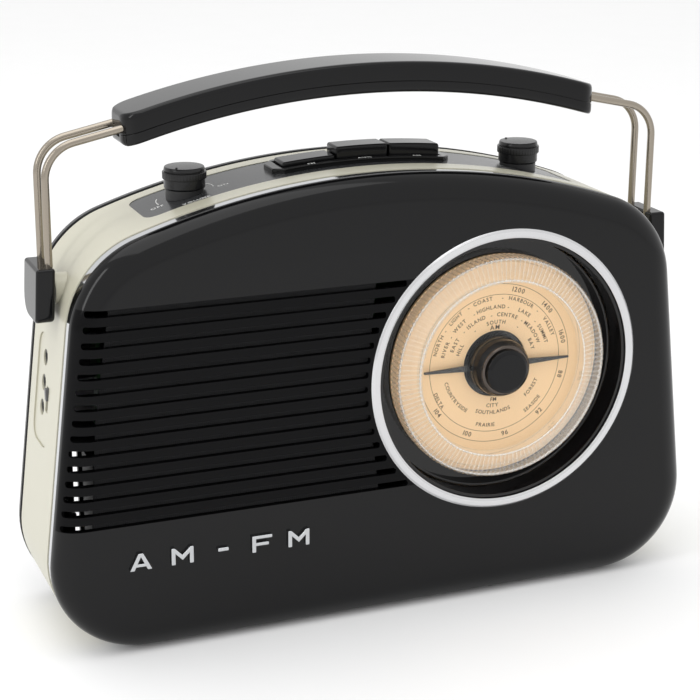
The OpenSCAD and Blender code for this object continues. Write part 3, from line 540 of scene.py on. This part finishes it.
def make_front():
    """The front moulding, with its slots and the dial opening. The ribs between the slots get a darker, less
    shiny copy of the black: painted shade that stands for the darker reflections on the ribs.
    """
    outer = [ring_at(y, inset) for y, inset in quarter(FRONT_D, EDGE_IN, 12)]
    inner = [ring_at(FRONT_D, WALL), ring_at(WALL + 1.2, WALL + 1.5), ring_at(WALL, WALL + EDGE_IN)]
    shell = skin(outer + inner)
    slots = []
    for k in range(SLOTS):
        z = SLOT_TOP - SLOT_PITCH * k
        left = -SLOT_LEFT - SLOT_SLANT * k
        reach = COLLAR_R**2 - (z + SLOT_H / 2 - DIAL[1]) ** 2
        right = DIAL[0] - math.sqrt(reach)
        lips = filleted([(left, z), (right, z), (right, z + SLOT_H), (left, z + SLOT_H)], SLOT_ROUND, 3)
        slots.append(prism(lips, *SLOT_SPAN, lambda u, v, w: (u, w, v)))
    hole = rod(BEZEL_R - BEZEL_W, (DIAL[0], -3, DIAL[1]), (DIAL[0], 12, DIAL[1]), 128)
    shell = carved(shell, merged(hole, *slots))
    left, right = -SLOT_LEFT - SLOT_SLANT * (SLOTS - 1) - 1, DIAL[0] - BEZEL_R
    top, bottom = SLOT_TOP + SLOT_H + 0.1, SLOT_TOP - SLOT_PITCH * (SLOTS - 1) - 0.1
    cuts = (
        ((-SLOT_LEFT + 5, 0, 0), (1, 0, 0)),
        ((0, 0, top), (0, 0, 1)),
        ((0, 0, bottom), (0, 0, 1)),
    )
    for place, normal in cuts:
        geometry = shell.verts[:] + shell.edges[:] + shell.faces[:]
        bmesh.ops.bisect_plane(shell, geom=geometry, plane_co=place, plane_no=normal)
    # Faces in the rib zone take slot 1, the darker copy of the black: painted shade on the ribs.
    for face in shell.faces:
        spot = face.calc_center_median()
        ribs = left < spot.x < right + 40 and bottom < spot.z < top and spot.y < SLOT_SPAN[1]
        if ribs and math.hypot(spot.x - DIAL[0], spot.z - DIAL[1]) > BEZEL_R:
            face.material_index = 1
    front = put(shell, "front_moulding", "case", "black_gloss", "front_shell", bevel=0.32, bevel_angle=40,
                segments=2)
    # Slot 1 is the painted-shade copy of the black, for the ribs.
    front.data.materials.append(RIB_PAINTED_SHADE)


def make_ring(name, node, slot, span, inset, soft):
    """A ring of the case outline, with its outer edges rounded by soft."""
    y0, y1 = span
    profile = filleted([(y0, inset), (y1, inset), (y1, inset + WALL), (y0, inset + WALL)], soft, 3)
    put(skin([ring_at(y, d) for y, d in profile], closed=True), name, "case", slot, node, sharp=50)


# ---------- side panel and band ----------

PORT_Y = 42
PORTS = [111, 101, 91]
PORT_R = 3.15
SLIDE = (35, 96)
SLIDE_HALF = (1.9, 5)
# Gap round the near-black sheet behind the slide slot, which is painted shade
SHADE_SHEET_GAP = 0.01
# From outside the left wall to inside it, for cutters
LEFT_SPAN = (-150, -110)
PLATE_HALF = 91.2
PLATE_Y = (24, 53.6)
PLATE_T = 1.6
PLATE_IN = 0.4
PLATE_ROUND = 6
PLATE_GAP = 0.05
CONTROL_Y = 38.7
KNOB_X = 71.7
PIVOT = (32.5, 141)


def side_x(z, inset=0.0):
    """Half width of the case at height z, on its straight side."""
    return (BASE_HALF - inset / math.cos(LEAN)) - math.tan(LEAN) * z


def plan_outline(half, y0, y1, r):
    return filleted([(-half, y0), (half, y0), (half, y1), (-half, y1)], r, 6)


def arced(plan, low, high, columns=60):
    """A plan outline given thickness between two heights above the top arc, sliced along x so that it
    follows the arc."""
    slab = prism(plan, -1, 1, lambda u, v, w: (u, v, w))
    left = min(u for u, _ in plan)
    right = max(u for u, _ in plan)
    for k in range(1, columns):
        cut = left + (right - left) * k / columns
        geometry = slab.verts[:] + slab.edges[:] + slab.faces[:]
        bmesh.ops.bisect_plane(slab, geom=geometry, plane_co=(cut, 0, 0), plane_no=(1, 0, 0))
    for vert in slab.verts:
        vert.co.z = arc_height(vert.co.x, high if vert.co.z > 0 else low)
    return slab


PANEL_Y = (29, 52)
PANEL_Z = (77, 120)
PANEL_R = 6
PANEL_IN = 0.7


def panel_outline(grow):
    (y0, y1), (z0, z1) = PANEL_Y, PANEL_Z
    corners = [(y0 - grow, z0 - grow), (y1 + grow, z0 - grow), (y1 + grow, z1 + grow), (y0 - grow, z1 + grow)]
    return filleted(corners, PANEL_R * 1.2, 8)


def make_port_panel():
    """The sunk panel round the sockets. It follows the lean of the wall."""
    panel = prism(panel_outline(-0.02), PANEL_IN, WALL + 0.2, lambda u, v, w: (-side_x(v, w), u, v))
    x0, x1 = LEFT_SPAN
    cutters = [rod(PORT_R, (x0, PORT_Y, z), (x1, PORT_Y, z)) for z in PORTS]
    y, z = SLIDE
    dy, dz = SLIDE_HALF
    cutters.append(block((x0, y - dy, z - dz), (x1, y + dy, z + dz)))
    put(carved(panel, merged(*cutters)), "port_insert", "case", "cream", "port_panel", bevel=0.25, segments=2,
        bevel_angle=50)
    # A near-black sheet just behind the slide switch's slot, with no CAD part of its own: painted shade that
    # makes the slot read dark.
    dy, dz = dy - SHADE_SHEET_GAP, dz - SHADE_SHEET_GAP
    well = block((-side_x(z) + 3.2, y - dy, z - dz), (-side_x(z) + 3.6, y + dy, z + dz))
    put(well, "slide_shade_sheet", "case", "steel", finish=SOCKET_DARK)


def make_band():
    profile = [(BAND_Y[0], 0.2), (BAND_Y[1], 0.2), (BAND_Y[1], 0.2 + WALL), (BAND_Y[0], 0.2 + WALL)]
    rows = [profile[0], (22, 0.2), (30, 0.2), (40, 0.2), (50, 0.2)] + profile[1:]
    band = skin([ring_at(y, d) for y, d in rows], closed=True)
    recess = arced(plan_outline(PLATE_HALF, *PLATE_Y, PLATE_ROUND), -PLATE_IN - PLATE_T, 6)
    opening = prism(panel_outline(0.06), *LEFT_SPAN, lambda u, v, w: (w, u, v))
    band = carved(band, merged(recess, opening))
    put(band, "band_moulding", "case", "cream", "case_band", bevel=0.22, segments=2, bevel_angle=40)
    bosses = []
    for s in (-1, 1):
        ends = filleted([(0, 115), (6, 115), (6, 126.4), (0, 126.4)], [0, 0.3, 0.3, 0], 3)
        bosses.append(turned(ends, (0, *PIVOT), "X", 40, closed=False,
                             shape=lambda r, h, a, s=s: (r, s * h)))
    put(merged(*bosses), "pivot_bosses", "case", "cream")


# ---------- rear cover ----------

INLET = (92, 32)
INLET_HALF = (10.7, 6.4)
INLET_ROUND = 6.3
VENTS = 7
VENT_X = 20
VENT_PITCH = 8
VENT_W = 3
VENT_Z = (84, 122)
SCREW_HOLE_R = 3.1
# Half width and height that reach past the whole case, for cutters
PAST_X = 160
PAST_Z = 210


def make_cover():
    """The rear moulding: a hollow shell with a shelf for the antenna, vents and a window for the door."""
    y0, y1 = REAR_TRIM_Y[1], COVER_Y[1]
    outer = [(y1 - y, inset) for y, inset in quarter(y1 - y0, BACK_EDGE_IN, 8)]
    solid = skin([ring_at(y, inset) for y, inset in outer])
    hollow = [(y0 - 1, WALL), (y1 - WALL - 1, WALL + 2.4), (y1 - WALL, BACK_EDGE_IN + WALL)]
    cavity = skin([ring_at(y, inset) for y, inset in hollow])
    cavity = carved(cavity, block((-PAST_X, SHELF_Y - WALL, SHELF_Z - WALL), (PAST_X, y1 + 1, PAST_Z)))
    shell = carved(solid, cavity)
    shell = carved(shell, block((-PAST_X, SHELF_Y, SHELF_Z), (PAST_X, y1 + 4, PAST_Z)))
    low, high = [(Vector(corner) - at(0, 0, 0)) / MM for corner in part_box("battery_door")]
    cutters = [block((low.x - 0.05, 50, low.z - 0.2), (high.x + 0.05, y1 + 4, high.z + 0.3))]
    du, dv = INLET_HALF
    inlet = filleted([(-du, -dv), (du, -dv), (du, dv), (-du, dv)], INLET_ROUND, 8)
    cutters.append(prism([(u + INLET[0], v + INLET[1]) for u, v in inlet], 50, 80, lambda u, v, w: (u, w, v)))
    for k in range(VENTS):
        x = VENT_X + VENT_PITCH * k
        low_z, high_z = VENT_Z
        lips = filleted([(x, low_z), (x + VENT_W, low_z), (x + VENT_W, high_z), (x, high_z)], 1.4, 3)
        cutters.append(prism(lips, 60, 80, lambda u, v, w: (u, w, v)))
    for x, z in SCREWS:
        back = SHELF_Y if z > SHELF_Z else y1
        cutters.append(rod(SCREW_HOLE_R, (x, back - 1.2, z), (x, back + 6, z)))
    shell = carved(shell, merged(*cutters))
    put(shell, "rear_moulding", "case", "black_case", "rear_cover", bevel=0.3, segments=2, bevel_angle=40)


# ---------- top controls ----------

FRAME_HALF = 37.6
FRAME_Y = (29.5, 47.9)
FRAME_CORNER = 4
BUTTON = (21.9, 11.5)
BUTTON_PITCH = 22.4
BUTTON_TRAVEL = 3
KNOB_R = 8.6
KNOB_LOW_R = 8
KNOB_Z = (174.6, 178.2, 181, 181.4, 183.2)
RIBS = 44


def window(i, gap, z0, z1):
    x = i * BUTTON_PITCH
    w, d = BUTTON[0] / 2 + gap, BUTTON[1] / 2 + gap
    return block((x - w, CONTROL_Y - d, z0), (x + w, CONTROL_Y + d, z1))


def make_plate():
    y0, y1 = PLATE_Y
    plan = plan_outline(PLATE_HALF - PLATE_GAP, y0 + PLATE_GAP, y1 - PLATE_GAP, PLATE_ROUND)
    plate = arced(plan, -PLATE_IN - PLATE_T, -PLATE_IN)
    holes = [rod(5, (s * KNOB_X, CONTROL_Y, 150), (s * KNOB_X, CONTROL_Y, 200)) for s in (-1, 1)]
    holes.append(block((-35, CONTROL_Y - 7.8, 150), (35, CONTROL_Y + 7.8, 200)))
    put(carved(plate, merged(*holes)), "control_panel", "case", "plate_grey", "control_plate", bevel=0.15,
        segments=2, bevel_angle=50)


def make_button_frame():
    (y0, y1), half, cut = FRAME_Y, FRAME_HALF, FRAME_CORNER
    plan = [(-half + cut, y0), (half - cut, y0), (half, y0 + cut), (half, y1 - cut), (half - cut, y1),
            (-half + cut, y1), (-half, y1 - cut), (-half, y0 + cut)]
    body = arced(filleted(plan, 0.8, 3), -PLATE_IN - 1, 1.6, 40)
    windows = merged(*[window(i, 0.35, 150, 210) for i in (-1, 0, 1)])
    put(carved(body, windows), "key_frame", "case", "black_gloss", "button_frame", bevel=0.4, bevel_angle=50)


def make_key(i, name, down):
    """A key with a softly rounded top that follows the arc of the case."""
    x = i * BUTTON_PITCH
    w, y0, y1 = BUTTON[0] / 2, CONTROL_Y - BUTTON[1] / 2, CONTROL_Y + BUTTON[1] / 2
    plan = filleted([(x - w, y0), (x + w, y0), (x + w, y1), (x - w, y1)], 1.2, 4)
    cap = arced(plan, -6, 6.2, 10)
    bmesh.ops.translate(cap, verts=cap.verts, vec=(0, 0, -down))
    body = name.replace("_button", "_key")
    put(cap, name + "_cap", body, "black_gloss", name, bevel=1.35, segments=5, bevel_angle=50)


def ribbed(count, amount, low, high):
    """Gives a turned shape fine ribs between two heights."""
    def shape(r, h, angle):
        inside = low <= h <= high and r > KNOB_R - 0.4
        return (r + amount * abs(math.sin(count * angle / 2)) - amount if inside else r), h
    return shape


def make_knob(side, name, body, dot_angle):
    x = side * KNOB_X
    z0, z1, z2, z3, z4 = KNOB_Z
    groove = KNOB_LOW_R - 0.5
    points = [(0, z0), (KNOB_LOW_R, z0), (KNOB_LOW_R, z1), (KNOB_R, z1), (KNOB_R, z2), (groove, z2),
              (groove, z3), (KNOB_LOW_R, z3), (KNOB_LOW_R - 0.25, z4 - 0.35), (0, z4)]
    radii = [0, 0.3, 0.1, 0.35, 0.35, 0.05, 0.05, 0.2, 0.6, 0]
    profile = filleted(points, radii, 4, closed=False)
    knob = turned(profile, (x, CONTROL_Y, 0), "Z", RIBS * 6, closed=False, shape=ribbed(RIBS, 0.16, z1, z2))
    put(knob, name + "_body", body, "knob_black", name, sharp=45)
    angle = math.radians(dot_angle)
    reach = KNOB_LOW_R - 1.8
    place = (x + reach * math.cos(angle), CONTROL_Y + reach * math.sin(angle), 0)
    dome = [(0, z4 - 0.6), (0.45, z4 - 0.6), (0.45, z4 + 0.12), (0, z4 + 0.16)]
    dot = filleted(dome, [0, 0, 0.12, 0], 3, closed=False)
    put(turned(dot, place, "Z", 20, closed=False), name + "_dot", body, "knob_black")


# ---------- dial ----------

HUB_R = 13.4
RING_R = 46.6
RING_INNER_R = 36.2
WELL_Y = 11
FLUTES = 132
FLUTE_DEPTH = 0.6
PRINT_T = 0.03
SCALE_Y = WELL_Y - 1.2


def fluted(r, h, angle):
    """Radial flutes across the front of the tuning ring, deepest at both of its edges."""
    wave = 0.5 + 0.5 * math.cos(FLUTES * angle)
    if h < 5:
        h += FLUTE_DEPTH * (wave - 1) * min(1, (RING_R + 1 - r) / 3)
    if r > RING_R - 0.9:
        r -= FLUTE_DEPTH * wave
    return r, h


def beads(radius, height, size):
    """A round cord that swells at each flute."""
    def swell(r, h, angle):
        k = 0.72 + 0.28 * math.cos(FLUTES * angle)
        return radius + (r - radius) * k, height + (h - height) * k
    turns = [math.pi * k / 4 for k in range(8)]
    ring = [(radius + size * math.cos(a), height + size * math.sin(a)) for a in turns]
    return turned(ring, (DIAL[0], 0, DIAL[1]), "Y", FLUTES * 8, shape=swell)


def make_dial():
    centre = (DIAL[0], 0, DIAL[1])
    inner = BEZEL_R - BEZEL_W
    points = [(inner, 0.6), (inner, -0.6), (inner + 0.9, -1.1), (BEZEL_R - 0.9, -1.1), (BEZEL_R, -0.4),
              (BEZEL_R, 0.02)]
    bezel = filleted(points, [0, 0.2, 0.5, 0.5, 0.3, 0], 4)
    put(turned(bezel, centre, "Y", 200), "bezel_ring", "case", "chrome_bezel", "dial_bezel", sharp=50)
    outer = inner - 0.05
    wall = [(outer, 0.4), (outer, 12.4), (7, 12.4), (7, 16), (3.05, 16), (3.05, 11), (outer - 1.4, 11),
            (outer - 1.4, 0.4)]
    well = filleted(wall, [0.2, 0, 0, 0, 0, 0, 1.2, 0.2], 4)
    put(turned(well, centre, "Y", 160), "dial_cup", "case", "black_gloss", "dial_well", sharp=50,
        finish=WELL_GLOSS)
    disc = [(HUB_R + 0.6, SCALE_Y), (RING_R - 0.4, SCALE_Y), (RING_R - 0.4, WELL_Y - 0.01),
            (HUB_R + 0.6, WELL_Y - 0.01)]
    put(turned(filleted(disc, 0.15, 3), centre, "Y", 160), "scale_disc", "case", "scale_print", "dial_scale")
    glass = [(HUB_R - 1, 5.2), (RING_INNER_R, 5.2), (RING_INNER_R, 6.6), (HUB_R - 1, 6.6)]
    put(turned(glass, centre, "Y", 120), "ring_window", "tuning", "clear_acrylic", "tuning_ring", sharp=60)
    ring = [(RING_INNER_R + 0.02, 6.6), (RING_INNER_R + 0.02, 1.2), (37.2, 1.0), (38, 1.1), (44.4, 1.5),
            (45.6, 1.9), (RING_R, 3.4), (RING_R, 9.2), (RING_R - 3, 9.2), (RING_R - 3, 6.6)]
    radii = [0, 0.3, 0.3, 0, 0, 0.4, 0.6, 0.2, 0.2, 0.3]
    put(turned(filleted(ring, radii, 3), centre, "Y", FLUTES * 8, shape=fluted), "ring_fluted", "tuning",
        "clear_acrylic", sharp=80, finish=FLUTED)
    put(merged(beads(36.95, 1.75, 0.55), beads(45.5, 2.9, 0.7)), "ring_beads", "tuning", "clear_acrylic",
        sharp=80, finish=BEADED)
    make_pointer()
    hub = [(0, 0.4), (10.7, 0.4), (11.8, 2.4), (12.1, 5.1), (HUB_R - 1.05, 5.19), (HUB_R - 1.05, 9.4),
           (0, 9.4)]
    hub = filleted(hub, [0, 0.4, 0.8, 0.1, 0.1, 0.1, 0], 4, closed=False)
    put(turned(hub, centre, "Y", 96, closed=False), "hub_body", "tuning", "knob_black", "tuning_hub", sharp=50)
    lip = [(0, -0.9), (9.9, -0.9), (10.6, -0.3), (10.6, 0.38), (0, 0.38)]
    lip = filleted(lip, [0, 0.3, 0.4, 0.1, 0], 4, closed=False)
    put(turned(lip, centre, "Y", 96, closed=False), "hub_lip", "tuning", "chrome_bezel", "hub_ring", sharp=50,
        finish=LIP_CHROME)
    cap = [(0, -3.4), (7.6, -3.25), (9.2, -2.3), (9.2, -0.92), (0, -0.92)]
    cap = filleted(cap, [0, 1.1, 0.8, 0.1, 0], 5, closed=False)
    put(turned(cap, centre, "Y", 96, closed=False), "cap_gloss", "tuning", "black_gloss", "hub_cap", sharp=50)
    make_print()


def make_pointer():
    tip, half = 32.6, HUB_R - 1
    bars = []
    for s in (-1, 1):
        bar = [(s * half, -1.3), (s * tip, -0.45), (s * tip, 0.45), (s * half, 1.3)]
        bars.append(prism([(DIAL[0] + u, DIAL[1] + v) for u, v in bar], 7.2, 8.2, lambda u, v, w: (u, w, v)))
    put(merged(*bars), "pointer_bar", "tuning", "pointer_black", "dial_pointer", bevel=0.2)


# ---------- lettering ----------

GLYPHS = {}


def glyph(letter):
    """A letter as a thin solid one unit high, with its width."""
    if letter not in GLYPHS:
        data = bpy.data.curves.new("glyph", "FONT")
        data.body = letter
        data.align_x = "CENTER"
        data.extrude = 0.02
        data.resolution_u = 3
        data.offset = 0.012
        item = bpy.data.objects.new("glyph", data)
        bpy.context.collection.objects.link(item)
        bpy.context.view_layer.update()
        mesh = bpy.data.meshes.new_from_object(item.evaluated_get(bpy.context.evaluated_depsgraph_get()))
        GLYPHS[letter] = (mesh, item.dimensions.x)
        bpy.data.objects.remove(item)
    return GLYPHS[letter]


def lettering(text, size, place, spacing=0.16):
    """A mesh of the text. place(s, u, v, w) takes the distance s of a letter's middle along the line, and a
    point u, v, w of the letter, to a point in space."""
    widths = [0.3 if c == " " else glyph(c)[1] for c in text]
    run = -(sum(widths) + spacing * (len(text) - 1)) / 2 * size
    whole = bmesh.new()
    for letter, width in zip(text, widths):
        run += width / 2 * size
        if letter != " ":
            start = len(whole.verts)
            whole.from_mesh(glyph(letter)[0])
            whole.verts.ensure_lookup_table()
            for vert in whole.verts[start:]:
                vert.co = place(run, vert.co.x * size, vert.co.y * size, vert.co.z)
        run += (width / 2 + spacing) * size
    return whole


def dial_text(text, radius, middle, size, inward=False):
    """Text along an arc of the scale. inward turns the letters' tops towards the centre."""
    def place(s, u, v, w):
        turn = -1 if inward else 1
        angle = math.radians(middle) - turn * s / radius
        r = radius + turn * v
        across = Vector((math.sin(angle), -math.cos(angle))) * turn
        out = Vector((math.cos(angle), math.sin(angle)))
        spot = Vector(DIAL) + out * r + across * u
        return (spot.x, SCALE_Y - PRINT_T / 2 - w, spot.y)
    return lettering(text, size, place)


def dial_circle(radius, half=0.09):
    front, back = SCALE_Y - PRINT_T, SCALE_Y + 0.01
    profile = [(radius - half, front), (radius + half, front), (radius + half, back), (radius - half, back)]
    return turned(profile, (DIAL[0], 0, DIAL[1]), "Y", 120)


def make_print():
    size = 2.25
    parts = [dial_circle(r) for r in (29.2, 33.6)]
    for text, angle in (("1200", 72), ("1400", 43), ("1600", 15)):
        parts.append(dial_text(text, 30.7, angle, 2.8))
    for text, angle in (("88", -15), ("92", -48), ("96", -80), ("100", -112), ("104", -144)):
        parts.append(dial_text(text, 32.2, angle, 2.8, inward=True))
    rows = [
        (27.0, [("NORTH", 158), ("LIGHT", 131), ("COAST", 103), ("HARBOUR", 66), ("VALLEY", 29)]),
        (23.3, [("RIVER", 160), ("WEST", 133), ("HIGHLAND", 96), ("LAKE", 58), ("SUMMIT", 26)]),
        (20.0, [("EAST", 152), ("ISLAND", 116), ("CENTRE", 76), ("MEADOW", 35)]),
        (16.9, [("HILL", 155), ("SOUTH", 90), ("BAY", 22)]),
    ]
    for radius, words in rows:
        for text, angle in words:
            parts.append(dial_text(text, radius, angle, size))
        for (_, a), (_, b) in zip(words, words[1:]):
            parts.append(dial_text("-", radius, (a + b) / 2, size))
    low_rows = [
        (16.2, [("FM", -91)]),
        (18.8, [("CITY", -92)]),
        (21.8, [("SOUTHLANDS", -91), ("FOREST", -36)]),
        (23.3, [("COUNTRYSIDE", -144)]),
        (27.2, [("PRAIRIE", -98), ("SEASIDE", -48)]),
        (29.0, [("DELTA", -152)]),
    ]
    for radius, words in low_rows:
        for text, angle in words:
            parts.append(dial_text(text, radius, angle, size, inward=True))
    parts.append(dial_text("AM", 14.6, 92, 2.7))
    put(merged(*parts), "scale_ink", "case", "scale_print", sharp=20, finish=DIAL_INK)


def plate_text(text, x, y, size, above=-PLATE_IN):
    """Text that lies along the top of the case, this far above its arc."""
    def place(s, u, v, w):
        return (x + s + u, y + v, arc_height(x + s + u, above) + 0.02 + w)
    return lettering(text, size, place)


def plate_arc(x, radius, start, end):
    """A thin printed arc about the volume knob."""
    steps = 14
    inner, outer = [], []
    for k in range(steps + 1):
        angle = math.radians(start + (end - start) * k / steps)
        for row, r in ((inner, radius), (outer, radius + 0.35)):
            row.append((x + r * math.cos(angle), CONTROL_Y + r * math.sin(angle)))
    loop = outer + inner[::-1]
    return prism(loop, 0, 0.05, lambda u, v, w: (u, v, arc_height(u, -PLATE_IN) + w))


def make_plate_print():
    parts = [plate_text("OFF", -84.2, 33.2, 2.7), plate_text("ON", -57.4, 34.2, 2.7),
             plate_text("VOLUME", -71, 25.2, 2.5)]
    parts += [plate_arc(-KNOB_X, 11, 150, 190), plate_arc(-KNOB_X, 11, -10, 30)]
    for text, i in (("FM", -1), ("AUX", 0), ("AM", 1)):
        parts.append(plate_text(text, i * BUTTON_PITCH, FRAME_Y[0] + 0.6, 2.4, 1.6))
    put(merged(*parts), "panel_ink", "case", "plate_grey", sharp=20, finish=WHITE_INK)


# ---------- handle ----------

GRIP_HALF = 99
GRIP_W = 25.4
GRIP_Y = 34.8
SEAM_R = 332.5
GRIP_R = (328.3, 340.3)
ROD_R = 1.5
ROD_X = 128.3
ROD_Y = (28.2, 41.4)
ROD_BEND = 14
ROD_SLOPE = 12
BEND_Z = 183.2
ROD_FOOT_Z = 143.5
ROD_MID_Z = 160
ROD_END_X = 88


def make_grip(name, nodes, width, r0, r1, radii, edge, low, high, steps=64):
    """Part of the grip, swept along the arc above the case. Its ends are rounded in plan. low and high
    are 1 where the end's lower or upper edge is rounded too."""
    corner = 7.5
    stations = [0, 0.15, 0.4, 0.8, 1.3, 2, 3, 4, 5, 6.2, 7.5]
    length = 2 * GRIP_HALF
    middle = [corner + (length - 2 * corner) * k / steps for k in range(1, steps)]
    along = stations + middle + [length - s for s in stations[::-1]]
    rings = []
    for s in along:
        end = min(s, length - s)
        narrow = corner - math.sqrt(max(0, corner**2 - max(0, corner - end) ** 2))
        pinch = edge - math.sqrt(max(0, edge**2 - max(0, edge - end) ** 2))
        half = width / 2 - narrow
        section = filleted([(-half, r0 + pinch * low), (half, r0 + pinch * low), (half, r1 - pinch * high),
                            (-half, r1 - pinch * high)], radii, 5)
        x = s - GRIP_HALF
        rings.append([(x, GRIP_Y + v, TOP_C + math.sqrt(r * r - x * x)) for v, r in section])
    put(skin(rings), name, "handle", "black_gloss", *nodes, sharp=50)


def rod_path(side, y):
    """Up from the block, round the bend and in to the grip."""
    cx = ROD_X - ROD_BEND
    turn = math.radians(90 - ROD_SLOPE)
    points = [Vector((ROD_X, y, ROD_FOOT_Z)), Vector((ROD_X, y, ROD_MID_Z))]
    steps = 14
    for k in range(steps + 1):
        angle = turn * k / steps
        points.append(Vector((cx + ROD_BEND * math.cos(angle), y, BEND_Z + ROD_BEND * math.sin(angle))))
    slope = math.radians(ROD_SLOPE)
    run = (points[-1].x - ROD_END_X) / math.cos(slope)
    points.append(points[-1] + Vector((-math.cos(slope), 0, math.sin(slope))) * run)
    return [Vector((side * p.x, p.y, p.z)) for p in points]


BLOCK_Y = (22.8, 44.5)
BLOCK_Z = (130, 151)
BLOCK_OUT = (135.4, 134.2)
BLOCK_IN = (128, 126.9)
BLOCK_CURVE = 13.4


def make_hinge_blocks():
    """A block each side, rounded below, with soft edges all round."""
    (y0, y1), (z0, z1) = BLOCK_Y, BLOCK_Z
    side = filleted([(y0, z0), (y1, z0), (y1, z1), (y0, z1)], [3.2, BLOCK_CURVE, 0, 0], 8)
    blocks = []
    for s in (-1, 1):
        def place(u, v, w, s=s):
            t = (v - z0) / (z1 - z0)
            near = BLOCK_IN[0] + (BLOCK_IN[1] - BLOCK_IN[0]) * t
            far = BLOCK_OUT[0] + (BLOCK_OUT[1] - BLOCK_OUT[0]) * t
            return (s * (near + (far - near) * w), u, v)
        blocks.append(prism(side, 0, 1, place))
    put(merged(*blocks), "hinge_block_pair", "handle", "black_gloss", "hinge_blocks", bevel=1.2, segments=4,
        bevel_angle=50)


def make_handle():
    top, base = SEAM_R + 0.42, SEAM_R + 0.2
    make_grip("grip_top", ["grip_upper"], GRIP_W, top, GRIP_R[1], [0.2, 0.2, 2.2, 2.2], 1.3, 0, 1)
    make_grip("grip_base", ["grip_lower"], GRIP_W, GRIP_R[0], base, [2.2, 2.2, 0.2, 0.2], 2.6, 1, 0)
    make_grip("grip_tongue", [], GRIP_W - 1.6, base - 1, top + 0.01, 0, 0, 0, 0)
    rods = [swept(rod_path(side, y), ROD_R, 32) for side in (-1, 1) for y in ROD_Y]
    put(merged(*rods), "handle_bars", "handle", "nickel_rod", "handle_rods", sharp=50)
    make_hinge_blocks()


# ---------- rear, sides and small pieces ----------


def make_small_parts():
    softened("badge_letters", 0.35, "chrome_trim", segments=3)
    softened("feet", 0.25, "rubber")
    softened("knob_collars", 0.2, "black_case")
    softened("battery_door", 0.3, "black_case")
    softened("slide_knob", 0.3, "slide_grey")
    softened("port_sockets", 0.1, "steel", finish=SOCKET_DARK)
    softened("transformer", 0.4, "transformer_steel")
    softened("case_screws", 0.2, "steel")
    for z in PORTS:
        make_port(z)


def make_port(z):
    """The dark bush round a jack socket, just inside the wall of the case."""
    x = -side_x(z) + 1.3
    bore, rim = 1.85, PORT_R - 0.02
    bush = filleted([(bore, x), (rim, x), (rim, x + 1.8), (bore, x + 1.8)], [0.5, 0.2, 0, 0], 3)
    put(turned(bush, (0, PORT_Y, z), "X", 40), f"port_bush_{z}", "case", "steel", finish=SOCKET_DARK)


ANTENNA_X = 104
ANTENNA_Z = 152
ANTENNA_END = 138.6
TANG_HALF = (1.6, 1.5)


def antenna_section(centre, radius, bore, start, end):
    """A tube along the antenna, from start to end as distances from the knuckle."""
    wall = [(bore, -start), (radius, -start), (radius, -end), (bore, -end)]
    return turned(filleted(wall, [0, 0.4, 0.3, 0], 3), centre, "X", 40)


def polished(node, body, *parts):
    put(merged(*parts), node + "_polished", body, "antenna_chrome", node, sharp=45)


def make_antenna():
    low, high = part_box("antenna_tube")
    y = ((low.y + high.y) / 2 - FRONT) / MM
    centre = (ANTENNA_X, y, ANTENNA_Z)
    dy, dz = TANG_HALF
    tube = antenna_section(centre, 2.9, 2.25, 5.5, 132)
    tang = block((98.4, y - dy, ANTENNA_Z - dz), (102.6, y + dy, ANTENNA_Z + dz))
    stub = rod(2, (ANTENNA_X, y, ANTENNA_Z - dz), (ANTENNA_X, y, ANTENNA_Z + dz))
    polished("antenna_tube", "antenna_arm", tube, tang, stub)
    polished("antenna_section_2", "antenna_mid", antenna_section(centre, 2.2, 1.65, 12, 133))
    inner_rod = turned([(0, -19), (1.6, -19), (1.6, -135)], centre, "X", 40, closed=False)
    button = [(0, 5 - ANTENNA_END), (2.9, 5 - ANTENNA_END), (2.9, -ANTENNA_END), (0, -ANTENNA_END)]
    knob = turned(filleted(button, [0, 0.5, 1.6, 0], 5, closed=False), centre, "X", 40, closed=False)
    polished("antenna_section_3", "antenna_tip", inner_rod, knob)


make_camera()
make_studio()
make_front()
make_ring("front_trim_strip", "front_trim", "chrome_trim", TRIM_Y, 0.5, 0.55)
make_band()
make_ring("rear_trim_strip", "rear_trim", "chrome_trim", REAR_TRIM_Y, 0.5, 0.4)
make_cover()
make_port_panel()
make_plate()
make_button_frame()
make_key(-1, "fm_button", BUTTON_TRAVEL)
make_key(0, "aux_button", 0)
make_key(1, "am_button", 0)
make_knob(-1, "volume_knob", "volume", 225)
make_knob(1, "tone_knob", "tone", 118)
make_dial()
make_plate_print()
make_handle()
make_small_parts()
make_antenna()


# ---------- every CAD node that stays ----------


def finish_nodes():
    slots = {part["node"]: part["material_slot"] for part in frame["record"]["subparts"]}
    for name, node in frame["nodes"].items():
        for place in node.material_slots:
            place.material = FINISHES[slots[name]]


finish_nodes()
